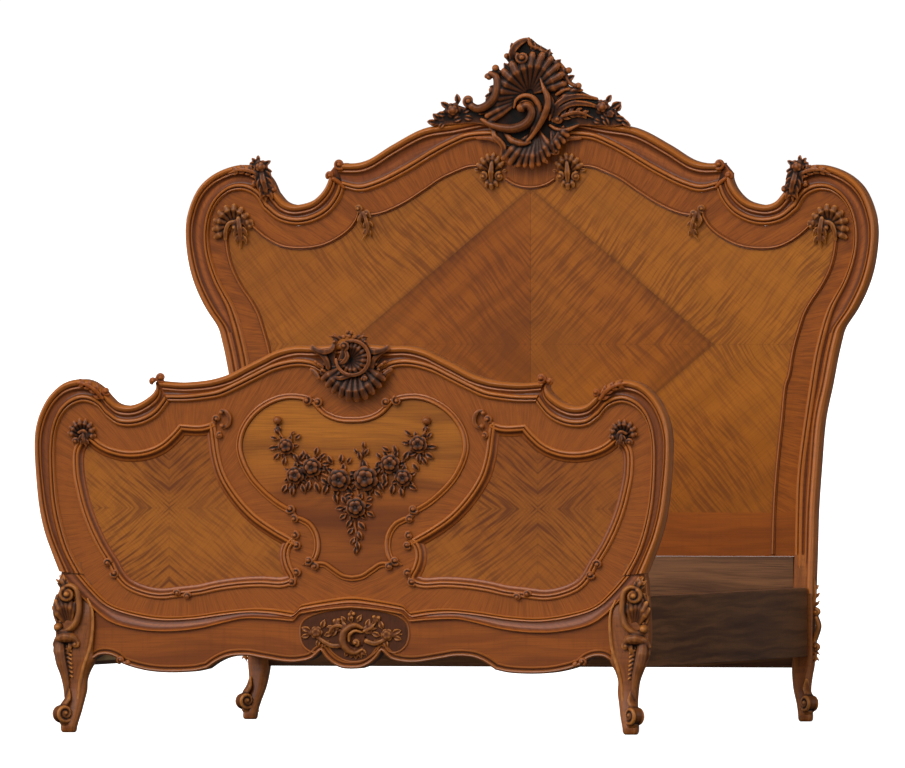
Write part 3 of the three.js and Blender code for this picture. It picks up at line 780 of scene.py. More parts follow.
def beechWood(name):
    f = Finish(name)
    along, across = f.grain()
    wander = f.noise(f.at(along * 1.5, across * 9, 0.4), 1.0, 2.0) - 0.5
    bands = f.noise(f.at(along * 1.2, across * 45 + wander * 4, 2.0), 1.0, 3.0, 0.6)
    flecks = f.noise(f.at(along * 60, across * 700, 5.0), 1.0, 2.0).between(0.6, 0.72)
    base = f.mix(bands.between(0.3, 0.7), tones["beechMid"], tones["beechLight"])
    base = f.mix(flecks * 0.5, base, tones["mouldingLight"])
    return f.polish(base, 0.6, 0.05, 0.3, f.bump(bands + flecks * 0.2, 0.2, 0.0006))


def agedSteel(name):
    f = Finish(name)
    x, y, z = f.place()
    spots = f.noise(f.at(x * 160, y * 160, z * 160), 1.0, 4.0).between(0.5, 0.62)
    base = f.mix(spots, tones["steel"], tones["rust"])
    return f.polish(base, spots.between(0, 1, 0.36, 0.8), 0.0, 0.2, f.bump(spots, 0.2, 0.0003),
                    1 - spots * 0.7)


headSlopes = (1 / 0.492, 1 / 0.408)
finishes = {
    "headField": quarteredVeneer("headFieldVeneer", (0.0, 0.986), headSlopes, 1 / math.hypot(*headSlopes),
        0.95, 0.6),
    "footField": quarteredVeneer("footPanelVeneer", (0.485, 0.575), (1.0, 0.86), None, 0.35, 0.85),
    "border": crossbandVeneer("crossbandVeneer", (0.0, 0.92), 0.35),
    "band": plainVeneer("bandVeneer", 0.6, 0.2),
    "centre": plainVeneer("centreVeneer", 0.25, 0.1, (0.56, 0.78)),
    "footBorder": crossbandVeneer("footBorderVeneer", (0.44, 0.56), 0.6),
    "apron": plainVeneer("apronWalnut", 0.5, 0.3),
    "back": plainVeneer("plainBackWood", 0.75, 0.1),
    "moulding": mouldingWood("mouldingWalnut"),
    "beads": mouldingWood("beadWalnut"),
    "legs": mouldingWood("legWalnut", "legGold", "legMid", "mouldingDark", 1.0, 0.3, 0.12),
    "knee": carvedWood("kneeWalnut", "kneePaintedHighlight", "kneeMid", "kneeDeep", 0.7),
    "apronCarving": carvedWood("apronCarvingWalnut", "kneePaintedHighlight", "kneeMid", "mouldingDark", 0.7),
    "apronField": carvedWood("apronFieldWalnut", "mouldingMid", "fieldMid", "groove", 0.7),
    "apronEdge": mouldingWood("apronEdgeWalnut", "mouldingMid", "mouldingDark", "mouldingDark", 1.0, 0.3),
    "rail": mouldingWood("railWalnut", "oakMid", "oakDark", "oakDark", 0.6, 0.0, 0.05),
    "carving": carvedWood("carvedWalnut"),
    "scrolls": carvedWood("scrollWalnut", "mouldingLight", "mouldingMid", "groove", 0.8),
    "crest": carvedWood("crestWalnut", "carvedPaintedHighlight", "carvedMid", "carvedDeep", 0.8),
    "oak": oakWood("stainedOak"),
    "beech": beechWood("rawBeech"),
    "steel": agedSteel("agedSteel"),
}
print("finishes made")


# the section of both frames: [share of the width, mm to add, height off the face]
frameSection = [(0, 0.2, -31.5), (0, 0.2, 9), (0, 1.2, 15), (0, 4, 20.5), (0, 8.5, 22.6), (0, 13, 21),
                (0, 16, 17.6), (0, 17.2, 14.2), (0, 19, 13.4), (0, 21, 15), (0, 23.2, 15.6),
                (0, 25.2, 14.2), (0, 26.4, 11.8), (0, 28, 10.2), (0, 31, 8.8), (0.5, 0, 8.0),
                (1, -27, 8.2), (1, -23.5, 8.8), (1, -22, 9.8), (1, -21.4, 11.4), (1, -19.4, 13.6),
                (1, -16.6, 14.8), (1, -13.8, 14), (1, -12.2, 11.4), (1, -11.2, 8.4), (1, -9.6, 8.0),
                (1, -8.2, 9.8), (1, -6.2, 10.2), (1, -4.2, 9.2), (1, -2.6, 6.6), (1, -1.4, 3),
                (1, -0.2, 2.2), (1, -0.2, -31.5), ]

headboard = {
    # the right half of each moulding: its outer and inner edges
    "topOuter": [[0, 1594], [60, 1591], [130, 1581], [206, 1566], [286, 1552], [371, 1509], [434, 1471],
        [465, 1462], [498, 1461], [522, 1462]],
    "topInner": [[0, 1522], [70, 1521], [100, 1524], [168, 1519], [206, 1504], [255, 1479], [333, 1433],
        [410, 1396], [457, 1384], [501, 1393]],
    "notchOuter": [[541, 1436], [542, 1420], [555, 1392], [582, 1365], [613, 1354], [636, 1352],
        [660, 1360], [682, 1384]],
    "notchInner": [[501, 1392], [512, 1365], [543, 1327], [590, 1303], [636, 1297], [683, 1309],
        [722, 1339]],
    "earOuter": [[682, 1384], [700, 1420], [730, 1446], [769, 1457], [816, 1449], [863, 1426], [894, 1396],
        [917, 1350], [929, 1297], [925, 1221], [909, 1153], [878, 1085], [843, 1032], [836, 1014]],
    "earInner": [[722, 1339], [742, 1370], [772, 1386], [808, 1384], [839, 1362], [859, 1328], [868, 1282],
        [863, 1221], [839, 1153], [800, 1085], [785, 1045], [777, 1018]],
    "postOuter": [[836.4, 1015], [824, 964], [808, 882], [789, 791], [777, 655], [770, 556], [767, 458],
        [765, 397], [763, 334]],
    "postInner": [[777.2, 1019], [763, 960], [750, 882], [718, 655], [713, 545], [711, 435], [709.5, 334]],
    # thin beads laid on the veneer: their middle lines, and the section across them
    "centreBead": [[-66, 1420], [-40, 1405], [0, 1398], [40, 1405], [66, 1420]],
    "archBead": [[134, 1455], [168, 1452], [206, 1438], [244, 1420], [286, 1392], [348, 1354], [403, 1331],
        [440, 1325]],
    "notchBead": [[463, 1337], [468, 1318], [485, 1293], [512, 1271], [558, 1248], [613, 1239],
        [668, 1244], [714, 1267], [752, 1298]],
    "sideBead": [[806, 1298], [820, 1270], [820, 1244], [808, 1191], [784, 1142], [753, 1097], [736, 1066],
        [722, 1025], [707, 972], [695, 904], [687, 882], [676, 783], [664, 670], [656, 563], [652, 437]],
    "beadSection": [(0, 0, -0.4), (0, 0.2, 2.0), (0, 1.4, 3.6), (0, 2.8, 3.2), (0, 3.5, 3.6),
        (0, 4.0, 6.2), (0.5, -1.0, 8.2), (0.5, 0, 8.6), (0.5, 1.0, 8.2), (1, -4.0, 6.2), (1, -3.5, 3.6),
        (1, -2.8, 3.2), (1, -1.4, 3.6), (1, -0.2, 2.0), (1, 0, -0.4)],
    "beadWidth": 12, "postStep": 9, "veneered": 15,
    # heights of the field's foot, the band's foot, and the oak rail below them
    "fieldFoot": 546, "bandFoot": 431.5, "railLow": 140, "railHigh": 431,
    "railFront": -4, "railBack": 24, "backFront": 15.2, "backBack": 23,
}
headTopOuter, headTopInner = smoothRun(headboard["topOuter"]), smoothRun(headboard["topInner"])
headNotchOuter, headNotchInner = smoothRun(headboard["notchOuter"]), smoothRun(headboard["notchInner"])
headEarOuter = joined(headNotchOuter, smoothRun(headboard["earOuter"]))
headEarInner = joined(headNotchInner, smoothRun(headboard["earInner"]))
headPostOuter = smoothRun(headboard["postOuter"], headboard["postStep"])
headPostInner = smoothRun(headboard["postInner"], headboard["postStep"])
headBeadCentre = smoothRun(headboard["centreBead"], 4)
headBeadArch, headBeadNotch = smoothRun(headboard["archBead"], 5), smoothRun(headboard["notchBead"], 5)
headBeadSide = smoothRun(headboard["sideBead"], 7)


def matched(outer, inner, count):
    return evenly(outer, count=count), evenly(inner, count=count)


def headFrame():
    outer, inner = matched(whole(headTopOuter), whole(headTopInner), 190)
    moulding("headTopRail", outer, inner, frameSection, headFace, finishes["moulding"], "walnut_frame",
             replaces=["head_top_rail"])
    for side, hand in hands:
        notch = matched(headNotchOuter, headNotchInner, 34)
        ear = matched(headEarOuter[len(headNotchOuter) - 1:], headEarInner[len(headNotchInner) - 1:], 100)
        moulding("headShoulder_" + hand, sided(joined(notch[0], ear[0]), side),
                 sided(joined(notch[1], ear[1]), side), frameSection, headFace, finishes["moulding"],
                 "walnut_frame", replaces=["head_shoulder_" + hand])
        outer, inner = matched(headPostOuter, headPostInner, 90)
        moulding("headPost_" + hand, sided(outer, side), sided(inner, side), frameSection, headFace,
                 finishes["moulding"], "walnut_frame")
    print("headboard frame made")


def headBoards():
    # the veneered field inside the beads, and the crossbanded border round it
    foot, low = headboard["fieldFoot"], headboard["bandFoot"]
    back = headFace + headboard["veneered"]
    field = joined(headBeadCentre[len(headBeadCentre) // 2:], [[100, 1440]], headBeadArch, headBeadNotch,
                   [[785, 1318]], headBeadSide, [[652, 437]])
    field = whole(np.vstack([field[field[:, 1] > foot], [[654.8, foot]]]))
    rim = joined(headTopInner, headEarInner, headPostInner)
    rim = whole(np.vstack([rim[rim[:, 1] > foot], [[713, foot]]]))
    slab("headField", field, headFace, back, finishes["headField"], "walnut_veneer")
    ring = np.vstack([rim, offsetBy(field, 0.3)[::-1]])
    slab("headBorder", ring, headFace, back, finishes["border"], "walnut_veneer", replaces=["head_panel"])
    slab("headLowerBand", [[-711, low], [711, low], [713, foot], [-713, foot]], headFace, back,
         finishes["band"], "walnut_veneer", replaces=["head_lower_band"])
    plank("headBottomRail", (-708, headFace + headboard["railFront"], headboard["railLow"]),
          (708, headFace + headboard["railBack"], headboard["railHigh"]), finishes["oak"], "oak_board",
          replaces=["head_bottom_rail"])
    plain = np.vstack([rim[:-1], [[713, 432], [-713, 432]]])
    slab("headBackBoard", plain, headFace + headboard["backFront"], headFace + headboard["backBack"],
         finishes["back"], "oak_board")
    print("headboard boards made")


def headBeads():
    wide, section = headboard["beadWidth"], headboard["beadSection"]
    for side, hand in hands:
        for place, line in (("arch", headBeadArch), ("notch", headBeadNotch), ("side", headBeadSide)):
            bead(f"headBead_{place}_{hand}", sided(line, side), wide, section, headFace, finishes["beads"],
                 "walnut_frame", replaces=["head_bead_" + hand] if place == "side" else ())
    bead("headBead_centre", headBeadCentre, wide, section, headFace, finishes["beads"], "walnut_frame",
         replaces=["head_bead_centre"])


# scrolls where the top rail's mouldings end
headTopScroll = {
    "name": "headTopScroll_", "finish": "scrolls", "slot": "walnut_frame",
    "fineness": 1.5, "soften": 2,
    "work": [
        ["volute", 511, 1458, 18, 17, 1.3, -110, 1, 5.5, {"deep": 1.2}],
        ["volute", 537, 1429, 14, 17, 1.2, -40, 1, 4.5, {"deep": 1.2}],
        ["stroke", [[502, 1398], [516, 1412], [528, 1420]], [5, 6, 6], [9, 13, 17]],
        ["plate", [[494, 1462], [522, 1460], [542, 1436], [516, 1404], [500, 1392]], -24, 8],
    ],
}

# leaf drops where the arch bead meets the notch bead
headLeaf = {
    "name": "headLeaf_", "finish": "knee", "slot": "walnut_carving",
    "fineness": 1.3, "soften": 2,
    "work": [
        ["volute", 463, 1342, 14, 8, 1.2, -90, -1, 4.5],
        ["volute", 440, 1328, 12, 8, 1.1, 60, 1, 4],
        ["leaf", [[448, 1332], [440, 1310], [436, 1286], [454, 1258]], 26, [10, 12, 10, 7], 3],
        ["stroke", [[452, 1330], [460, 1312], [452, 1294]], [5, 6, 3], [9, 10, 8], 1, 0.4],
    ],
}

# corner shells
headCorner = {
    "name": "headShell_", "finish": "knee", "slot": "walnut_carving",
    "fineness": 1.4, "soften": 2, "replaces": "head_shell_",
    "work": [
        ["fan", 800, 1298, [(846, 1268), (850, 1288), (847, 1310), (836, 1330), (819, 1343), (799, 1347),
         (780, 1339), (766, 1324), (755, 1306)], 5, 0.42, 7],
        ["stroke", [[822, 1262], [820, 1284], [811, 1302], [796, 1306], [788, 1296]], [5, 6, 6, 6, 4],
         [9, 12, 13, 12, 11], 1, 0.3],
        ["ball", 797, 1292, 7, 11],
        ["volute", 756, 1296, 12, 9, 1.2, 150, -1, 4],
        ["leaf", [[786, 1316], [782, 1290], [780, 1264], [782, 1238]], 36, [12, 14, 11, 7], 3],
        ["plate", [[840, 1272], [842, 1304], [820, 1334], [792, 1338], [766, 1316], [770, 1280],
         [784, 1256], [800, 1280], [816, 1288]], -0.5, 5],
    ],
}

# rosettes either side of the centre bead
headRosette = {
    "name": "headRosette_", "finish": "knee", "slot": "walnut_carving",
    "fineness": 1.4, "soften": 2, "replaces": "head_rosette_",
    "work": [
        ["fan", 103, 1436, [(74, 1460), (84, 1474), (98, 1482), (113, 1480), (127, 1470), (138, 1456)], 6,
         0.3, 6],
        ["fan", 104, 1434, [(90, 1404), (103, 1397), (117, 1402)], 6, 0.3, 5],
        ["volute", 82, 1426, 15, 9, 1.3, 90, -1, 4.8],
        ["volute", 125, 1426, 15, 9, 1.3, 90, 1, 4.8],
        ["stroke", [[103, 1412], [103, 1436], [101, 1462]], [5, 8, 5], [12, 15, 13], 1, 0.4],
        ["simpleLeaf", 98, 1476, 14, 100, 10],
        ["simpleLeaf", 136, 1442, 16, 10, 8],
        ["simpleLeaf", 74, 1440, 14, 170, 8],
        ["plate", [[76, 1424], [84, 1462], [104, 1474], [128, 1462], [134, 1424], [104, 1404]], -0.5, 5],
    ],
}

# flower and acanthus on the shoulder
headShoulderFlower = {
    "name": "headShoulderFlower_", "finish": "carving", "slot": "walnut_carving",
    "fineness": 1.7, "soften": 2,
    "work": [
        ["volute", 688, 1392, 14, 20, 1.2, -60, 1, 5, {"deep": 1.4}],
        ["stroke", [[700, 1378], [706, 1396], [702, 1412]], [6, 6, 4], [18, 21, 22], 1.2],
        ["rose", 722, 1451, 18, 24],
        ["ball", 722, 1451, 15, 12, 1.6],
        *[["simpleLeaf", x, z, size, angle, 23]
          for x, z, size, angle in ((712, 1458, 20, 150), (728, 1466, 18, 80), (738, 1456, 18, 20),
                                    (708, 1444, 18, 200), (736, 1462, 18, 50))],
        ["leaf", [[720, 1440], [714, 1414], [708, 1390], [710, 1362]], 40, [25, 28, 26, 18], 4],
        ["volute", 744, 1406, 10, 19, 1.1, 90, 1, 4],
        ["leaf", [[726, 1430], [748, 1440], [780, 1444], [812, 1434]], 26, [25, 26, 25, 22], 4],
        ["plate", [[696, 1396], [706, 1438], [728, 1460], [780, 1450], [776, 1436], [740, 1424],
         [722, 1380]], -20, 20],
    ],
}


def headOrnaments():
    for side, hand in hands:
        for ornament in (headTopScroll, headLeaf, headCorner, headRosette, headShoulderFlower):
            carve(ornament, headFace, side, hand)
    print("headboard ornaments made")


# the pierced shell and leaves over the headboard
headCrestPlan = {
    "name": "headCrest", "finish": "crest", "slot": "walnut_carving",
    "fineness": 1.8, "soften": 1, "replaces": "head_crest",
    "work": [
        ["fan", 2, 1640, [(-100, 1570), (-106, 1586), (-108, 1606), (-102, 1628), (-92, 1652), (-78, 1676),
         (-60, 1699), (-38, 1718), (-12, 1733), (14, 1742), (40, 1742), (62, 1732), (80, 1714), (92, 1692),
         (96, 1668)], 30, 0.16, 10, 0.54],
        ["fan", 58, 1566, [(70, 1494), (84, 1504), (96, 1518), (106, 1534)], 30, 0.3, 5],
        # backing behind the shell, the lower fan and the slopes
        ["plate", [[-96, 1590], [-92, 1640], [-66, 1690], [-36, 1720], [-30, 1760], [0, 1776], [30, 1752],
         [62, 1734], [92, 1700], [100, 1664], [130, 1652], [180, 1628], [226, 1600], [262, 1562],
         [230, 1556], [130, 1560], [96, 1530], [60, 1490], [10, 1464], [-44, 1476], [-84, 1520],
         [-110, 1560], [-150, 1566], [-262, 1558], [-244, 1588], [-206, 1616], [-176, 1606], [-150, 1612],
         [-120, 1590]], -18, 27],
        # the comma volute and the bands that echo it
        ["ball", -14, 1606, 13, 44],
        ["stroke", [[-14, 1606], [2, 1612], [14, 1598], [10, 1578], [-6, 1562], [-34, 1552], [-70, 1554],
         [-100, 1563], [-124, 1576]], [11, 11, 12, 13, 13, 12, 10, 8, 4], [44, 44, 43, 42, 42, 41, 40, 38,
         36]],
        ["stroke", [[-36, 1606], [-30, 1626], [-10, 1638], [14, 1634], [30, 1614], [32, 1590], [24, 1562],
         [6, 1528]], [3, 5, 6, 7, 8, 9, 9, 4], [36, 38, 38, 38, 38, 38, 37, 34], 0.9],
        ["stroke", [[-22, 1616], [-8, 1624], [10, 1618], [20, 1602], [22, 1580], [14, 1560]],
         [2, 3, 4, 4, 4, 3], 39],
        # the tall twisted leaf
        ["stroke", [[36, 1682], [46, 1658], [57, 1634], [58, 1612], [48, 1586], [32, 1558], [12, 1530],
         [-2, 1516]], [2, 6, 9, 10, 9, 8, 6, 4], [40, 45, 47, 47, 46, 44, 42, 40], 0.9],
        ["stroke", [[44, 1650], [66, 1626], [68, 1600], [60, 1574]], [3, 6, 6, 3], [38, 40, 40, 38]],
        # leaves sweeping out to the right
        ["stroke", [[66, 1586], [84, 1616], [112, 1632], [148, 1636], [186, 1630]], [5, 8, 8, 7, 4],
         [38, 40, 38, 35, 30], 0.9, 0.5],
        ["stroke", [[70, 1572], [90, 1600], [120, 1616], [160, 1616], [196, 1606]], [5, 7, 8, 7, 4],
         [37, 39, 37, 34, 29], 0.9, 0.5],
        ["stroke", [[100, 1640], [124, 1652], [146, 1652]], [3, 6, 4], [32, 34, 32]],
        ["volute", 82, 1576, 15, 36, 1.2, 20, -1, 6],
        ["leaf", [[94, 1584], [118, 1592], [146, 1592], [174, 1580]], 26, [38, 37, 34, 28], 4],
        ["stroke", [[60, 1560], [78, 1550], [104, 1548], [134, 1560]], [4, 6, 6, 3], [30, 33, 32, 28]],
        *[["stroke", [[x - 34, z - 14], [x - 14, z - 2], [x, z]], [4, 6, 5], [34, 38, 35]]
          for x, z in ((96, 1690), (104, 1672), (112, 1654), (118, 1640))],
        # crisp leaf tips round the shell's rim
        *[cut
          for x, z, size, angle in ((-48, 1704, 26, 130), (-62, 1684, 24, 150), (-92, 1640, 24, 190),
                                    (-80, 1656, 24, 165), (48, 1738, 26, 60), (70, 1716, 26, 40),
                                    (104, 1678, 26, 30), (14, 1752, 26, 80))
          for cut in (["simpleLeaf", x, z, size, angle, 32], ["stroke", [[x * 0.9, z - 8], [x, z],
                                                                         toward(x, z, 9, angle)],
                                                              [5, 5, 4], [30, 31, 32]])],
        # top volute and its leaf
        ["plate", [[-44, 1722], [-44, 1752], [-28, 1774], [0, 1788], [16, 1774], [42, 1760], [60, 1748],
         [20, 1730]], -12, 33],
        ["volute", -12, 1738, 21, 42, 1.5, 150, 1, 5.5],
        ["stroke", [[-40, 1728], [-40, 1750], [-28, 1770], [-10, 1782], [2, 1786]], [7, 10, 11, 9, 5],
         [34, 38, 38, 36, 32], 1, 0.5],
        ["stroke", [[2, 1786], [8, 1772], [20, 1764], [34, 1762], [36, 1768]], [5, 6, 5, 5, 2],
         [33, 34, 33, 32, 30]],
        ["stroke", [[34, 1758], [50, 1750], [62, 1750]], [5, 6, 3], [32, 33, 30]],
        ["stroke", [[62, 1744], [68, 1726], [84, 1722], [96, 1712]], [4, 6, 6, 5], [31, 33, 33, 34]],
        ["simpleLeaf", -38, 1756, 22, 105, 32],
        ["simpleLeaf", 6, 1774, 18, 100, 30],
        ["ball", 111, 1704, 9, 33],
        ["stroke", [[98, 1708], [104, 1688], [116, 1670], [132, 1662]], [6, 6, 6, 6], [33, 33, 34, 34]],
        ["volute", 138, 1662, 12, 34, 1.0, 180, -1, 5],
        ["stroke", [[144, 1652], [120, 1646], [98, 1640]], [4, 6, 5], [31, 33, 33]],
        # left side: knobs, the C scroll and its frill
        ["ball", -86, 1710, 10, 34],
        ["stroke", [[-86, 1704], [-68, 1698], [-52, 1706], [-46, 1724]], [6, 6, 6, 5], [32, 33, 33, 33]],
        ["ball", -56, 1742, 8, 34],
        ["stroke", [[-56, 1738], [-46, 1726]], [5, 5], 32],
        ["volute", -104, 1686, 13, 36, 1.0, 160, -1, 6],
        ["stroke", [[-98, 1696], [-84, 1688], [-79, 1664], [-86, 1634], [-108, 1612], [-134, 1604],
         [-152, 1612]], [8, 11, 13, 13, 12, 11, 10], [38, 40, 41, 41, 40, 38, 36], 0.9],
        ["volute", -158, 1624, 20, 33, 1.2, -80, -1, 8],
        ["stroke", [[-130, 1590], [-104, 1596], [-80, 1606]], [3, 5, 4], [30, 33, 34]],
        # flowers and sprigs down both slopes
        *[cut
          for x, z, r, h in ((-202, 1600, 19, 26), (-236, 1578, 12, 22), (200, 1608, 19, 26),
                             (222, 1590, 14, 24))
          for cut in (["rose", x, z, r, h, x * 0.01], ["ball", x, z, r * 0.8, h - 8, 1.4])],
        *[["simpleLeaf", x, z, size, angle, 26]
          for x, z, size, angle in ((-188, 1618, 26, 100), (-214, 1608, 26, 150), (-176, 1596, 22, 20),
                                    (-222, 1588, 24, 170), (-240, 1576, 24, 140), (-250, 1568, 24, 175),
                                    (-228, 1566, 20, 230), (-262, 1562, 14, 120), (-180, 1580, 24, 200),
                                    (-150, 1578, 24, 170), (212, 1620, 24, 60), (224, 1606, 30, 30),
                                    (238, 1596, 24, 60), (236, 1580, 26, -10), (252, 1572, 26, -30),
                                    (196, 1590, 24, -40), (182, 1610, 20, 160), (262, 1560, 16, 0),
                                    (204, 1580, 26, -60), (176, 1574, 22, -20))],
        # the lower fan, and the small S scroll at its left
        ["fan", 24, 1556, [(-62, 1476), (-44, 1464), (-24, 1458), (-6, 1456), (12, 1456), (30, 1460),
         (44, 1470), (56, 1484), (64, 1500)], 30, 0.2, 8, 0.54],
        *[["simpleLeaf", x, z, size, angle, 34]
          for x, z, size, angle in ((-58, 1478, 16, 220), (-34, 1462, 14, 250), (14, 1458, 16, 262),
                                    (48, 1470, 14, 300), (64, 1490, 14, 330))],
        ["stroke", [[-92, 1552], [-88, 1532], [-74, 1518], [-64, 1502], [-66, 1486]], [4, 7, 8, 8, 7],
         [34, 38, 38, 36, 34], 1, 0.4],
        ["stroke", [[-60, 1540], [-40, 1520], [-10, 1512], [6, 1516]], [5, 9, 10, 5], [33, 36, 38, 38]],
        ["stroke", [[96, 1556], [84, 1536], [72, 1516], [66, 1500]], [4, 7, 7, 6], [30, 33, 34, 34], 1,
         0.4],
        # the rail's inner moulding turns down into a scroll on either side
        ["stroke", [[136, 1526], [104, 1524], [84, 1514], [74, 1498]], [5, 6, 7, 6], [13, 17, 24, 28], 1,
         0.3],
        ["volute", 76, 1493, 15, 28, 1.2, 120, 1, 5],
        ["stroke", [[-140, 1527], [-104, 1525], [-78, 1516], [-62, 1500]], [5, 6, 7, 6], [13, 17, 22, 26],
         1, 0.3],
        ["volute", -60, 1494, 13, 27, 1.2, 60, -1, 4.5],
    ],
}


def headCrest():
    carve(headCrestPlan, headFace)
    print("headboard crest made")


def leg(name, stations, side, face, finish, slot, **more):
    step, sides, flatWay = 4.0, 36, 5.0
    rows = smoothRun(np.array(stations, float), step)
    vertices, grain = [], []
    for z, low, high, front, back, square in rows:
        middle, half = (low + high) / 2, (high - low) / 2
        centre, deep = (front + back) / 2, (front - back) / 2
        for s in range(sides):
            a = 2 * math.pi * (s + 0.5) / sides
            c, v = math.cos(a), math.sin(a)
            x = middle + half * math.copysign(abs(c) ** (2 / square), c)
            h = centre + deep * math.copysign(abs(v) ** (2 / square), v)
            vertices.append((side * x, face - h, z))
            grain.append((z, s * flatWay))
    faces = tubeFaces(len(rows), sides) + capFaces(len(rows), sides)
    return makePiece(name, vertices, faces, finish, slot, sharp=50, grain=grain,
                     marks={"hollow": [0.0] * len(vertices)}, **more)


legPlan = {
    # stations from the top down: [z, inner x, outer x, front, back, squareness]
    "head": [[436, 711, 765, 12, -31, 9], [345, 709.5, 763.5, 19, -31.5, 9],
        [330, 709, 762.5, 20, -31.5, 9], [250, 709, 762, 20, -31.5, 9], [170, 709, 761, 20, -31.5, 9],
        [146, 706, 760, 22, -30, 7], [120, 706, 758, 26, -22, 4], [84, 711, 757, 33, -8, 3],
        [48, 722, 762, 45, 4, 3], [22, 728, 766, 54, 13, 3], [5, 730, 766, 55, 15, 3],
        [0.3, 734, 762, 51, 19, 3]],
    "foot": [[436, 712, 764, 1, -39.5, 9], [404, 704, 770, 1, -39.5, 9], [380, 684, 773, 2, -39.5, 9],
        [352, 679, 775, 4, -39.5, 8], [330, 679, 777, 12, -39.5, 8], [300, 679, 779, 18, -39.5, 8],
        [250, 679, 781, 22, -39.5, 6], [208, 681, 777, 25, -38, 5], [186, 679, 771, 26, -37, 5],
        [160, 692, 761, 26, -33, 4], [136, 699, 754, 27, -26, 3.2], [108, 699, 752, 30, -16, 3],
        [80, 704, 752, 36, -6, 3], [45, 711, 756, 47, 6, 3], [18, 718, 759, 56, 14, 3],
        [5, 720, 758, 55, 15, 3], [0.3, 724, 754, 51, 19, 3]],
}


def toe(c, x, height, wide):
    # the foot curls up into a broad roll that points out along the diagonal
    outward, rollHeight, core = 40, 50, 0.78
    c.turned = (x, height, outward)
    middle = x + wide * 0.85
    outline = [(middle + wide * core * math.cos(a), rollHeight + wide * core * math.sin(a))
               for a in np.arange(0, 6.2, 0.35)]
    c.plate(outline, height - 12, height + 12)
    for face in (-1, 1):
        c.volute(middle, rollHeight, wide, height + 13 * face, 1.5, -120, 1, wide * 0.21, eye=False)
        c.ball(middle, rollHeight, wide * 0.26, height + 15 * face)
    c.stroke([[x - wide * 0.4, 22], [x + wide * 0.2, 18], [x + wide * 0.8, 26]], [9, 10, 9], height, 1.6)
    c.stroke([[x + 2, 110], [x + 8, 88], [x + wide * 0.75, 70]], [3, 7, 8], [height - 6, height, height],
             1.6)
    c.turned = None


# acanthus and scrolls down the headboard's post
headLegCarving = {
    "name": "headLegCarving_", "finish": "knee", "slot": "walnut_carving",
    "fineness": 1.6, "soften": 2, "toe": (744, 34, 25),
    "work": [
        # acanthus down the outer side of the post
        ["leaf", [[762, 300], [766, 330], [765, 356], [764, 376]], 24, [0, 4, 4, 0], 3],
        ["volute", 769, 286, 13, 2, 1.2, 90, -1, 5, {"deep": 2.0}],
        ["stroke", [[770, 272], [776, 250], [770, 226], [764, 206]], [6, 7, 7, 5], [2, 3, 3, 2], 2.2, 0.4],
        ["volute", 768, 196, 13, 2, 1.2, -90, 1, 5, {"deep": 2.0}],
        ["leaf", [[766, 184], [770, 166], [762, 148]], 18, [4, 8, 8], 2],
    ],
}

# C scroll with a fluted cup inside it, over a long leaf
kneeCarving = {
    "name": "footKnee_", "finish": "knee", "slot": "walnut_carving",
    "fineness": 1.6, "soften": 2, "toe": (734, 36, 27),
    "work": [
        ["leaf", [[752, 372], [760, 386], [768, 402]], 26, [22, 24, 18], 2],
        ["volute", 745, 354, 25, 27, 1.35, 60, -1, 7, {"deep": 1.3}],
        ["stroke", [[756, 372], [736, 376], [721, 366], [715, 340], [715, 306], [726, 276], [748, 260],
         [766, 258]], [5, 7, 8, 8, 8, 9, 9, 8], [26, 28, 29, 29, 29, 30, 29, 26], 1.2],
        ["ball", 770, 269, 13, 20, 1.7],
        ["fan", 742, 258, [(781, 318), (776, 334), (764, 342), (750, 342), (737, 338), (726, 330)], 18,
         0.25, 8, 0.56],
        ["stroke", [[694, 342], [682, 312], [680, 285], [682, 250], [688, 214], [704, 164], [714, 116],
         [718, 76], [724, 44], [728, 20]], [3, 4, 5, 5, 5, 5, 5, 4], [17, 19, 20, 23, 26, 27, 31, 40], 1],
        ["stroke", [[718, 330], [718, 300], [726, 282]], [5, 6, 4], [24, 25, 24], 1],
        ["stroke", [[776, 350], [781, 326], [780, 300], [775, 284]], [5, 6, 6, 5], [8, 12, 14, 14], 1.6],
        ["plate", [[724, 300], [724, 350], [742, 366], [772, 360], [778, 320], [768, 280], [742, 266]], 4,
         18],
        ["stroke", [[720, 232], [732, 241], [750, 244], [766, 239], [779, 226]], [8, 14, 15, 13, 9],
         [27, 30, 30, 26, 16], 1.0],
        ["volute", 724, 226, 13, 29, 1.2, 90, 1, 5, {"deep": 1.2}],
        ["stroke", [[766, 238], [766, 212], [761, 182], [752, 150], [747, 118], [746, 90]],
         [13, 16, 15, 12, 9, 6], [20, 26, 29, 30, 31, 34], 1.0],
        ["stroke", [[778, 226], [779, 208], [773, 190]], [6, 7, 5], [12, 14, 16], 1.6, 0.3],
        *[["stroke", [[746 - k * 0.8, 214 - 11 * k], [735 - k * 0.6, 208 - 11 * k]], [4.5, 3], [27, 29],
           1.0]
          for k in range(7)],
        ["stroke", [[736, 232], [738, 216], [744, 206]], [6, 6, 4], [29, 30, 28], 1, 0.3],
        ["plate", [[726, 210], [724, 236], [760, 244], [774, 226], [764, 184], [748, 134], [734, 150]], 8,
         24],
    ],
}


def legs():
    for side, hand in hands:
        leg("headLeg_" + hand, legPlan["head"], side, headFace, finishes["legs"], "walnut_frame",
            replaces=["head_post_" + hand])
        leg("footLeg_" + hand, legPlan["foot"], side, footFace, finishes["legs"], "walnut_frame",
            replaces=["foot_post_" + hand])
        carve(headLegCarving, headFace, side, hand)
        carve(kneeCarving, footFace, side, hand)
    print("legs made")


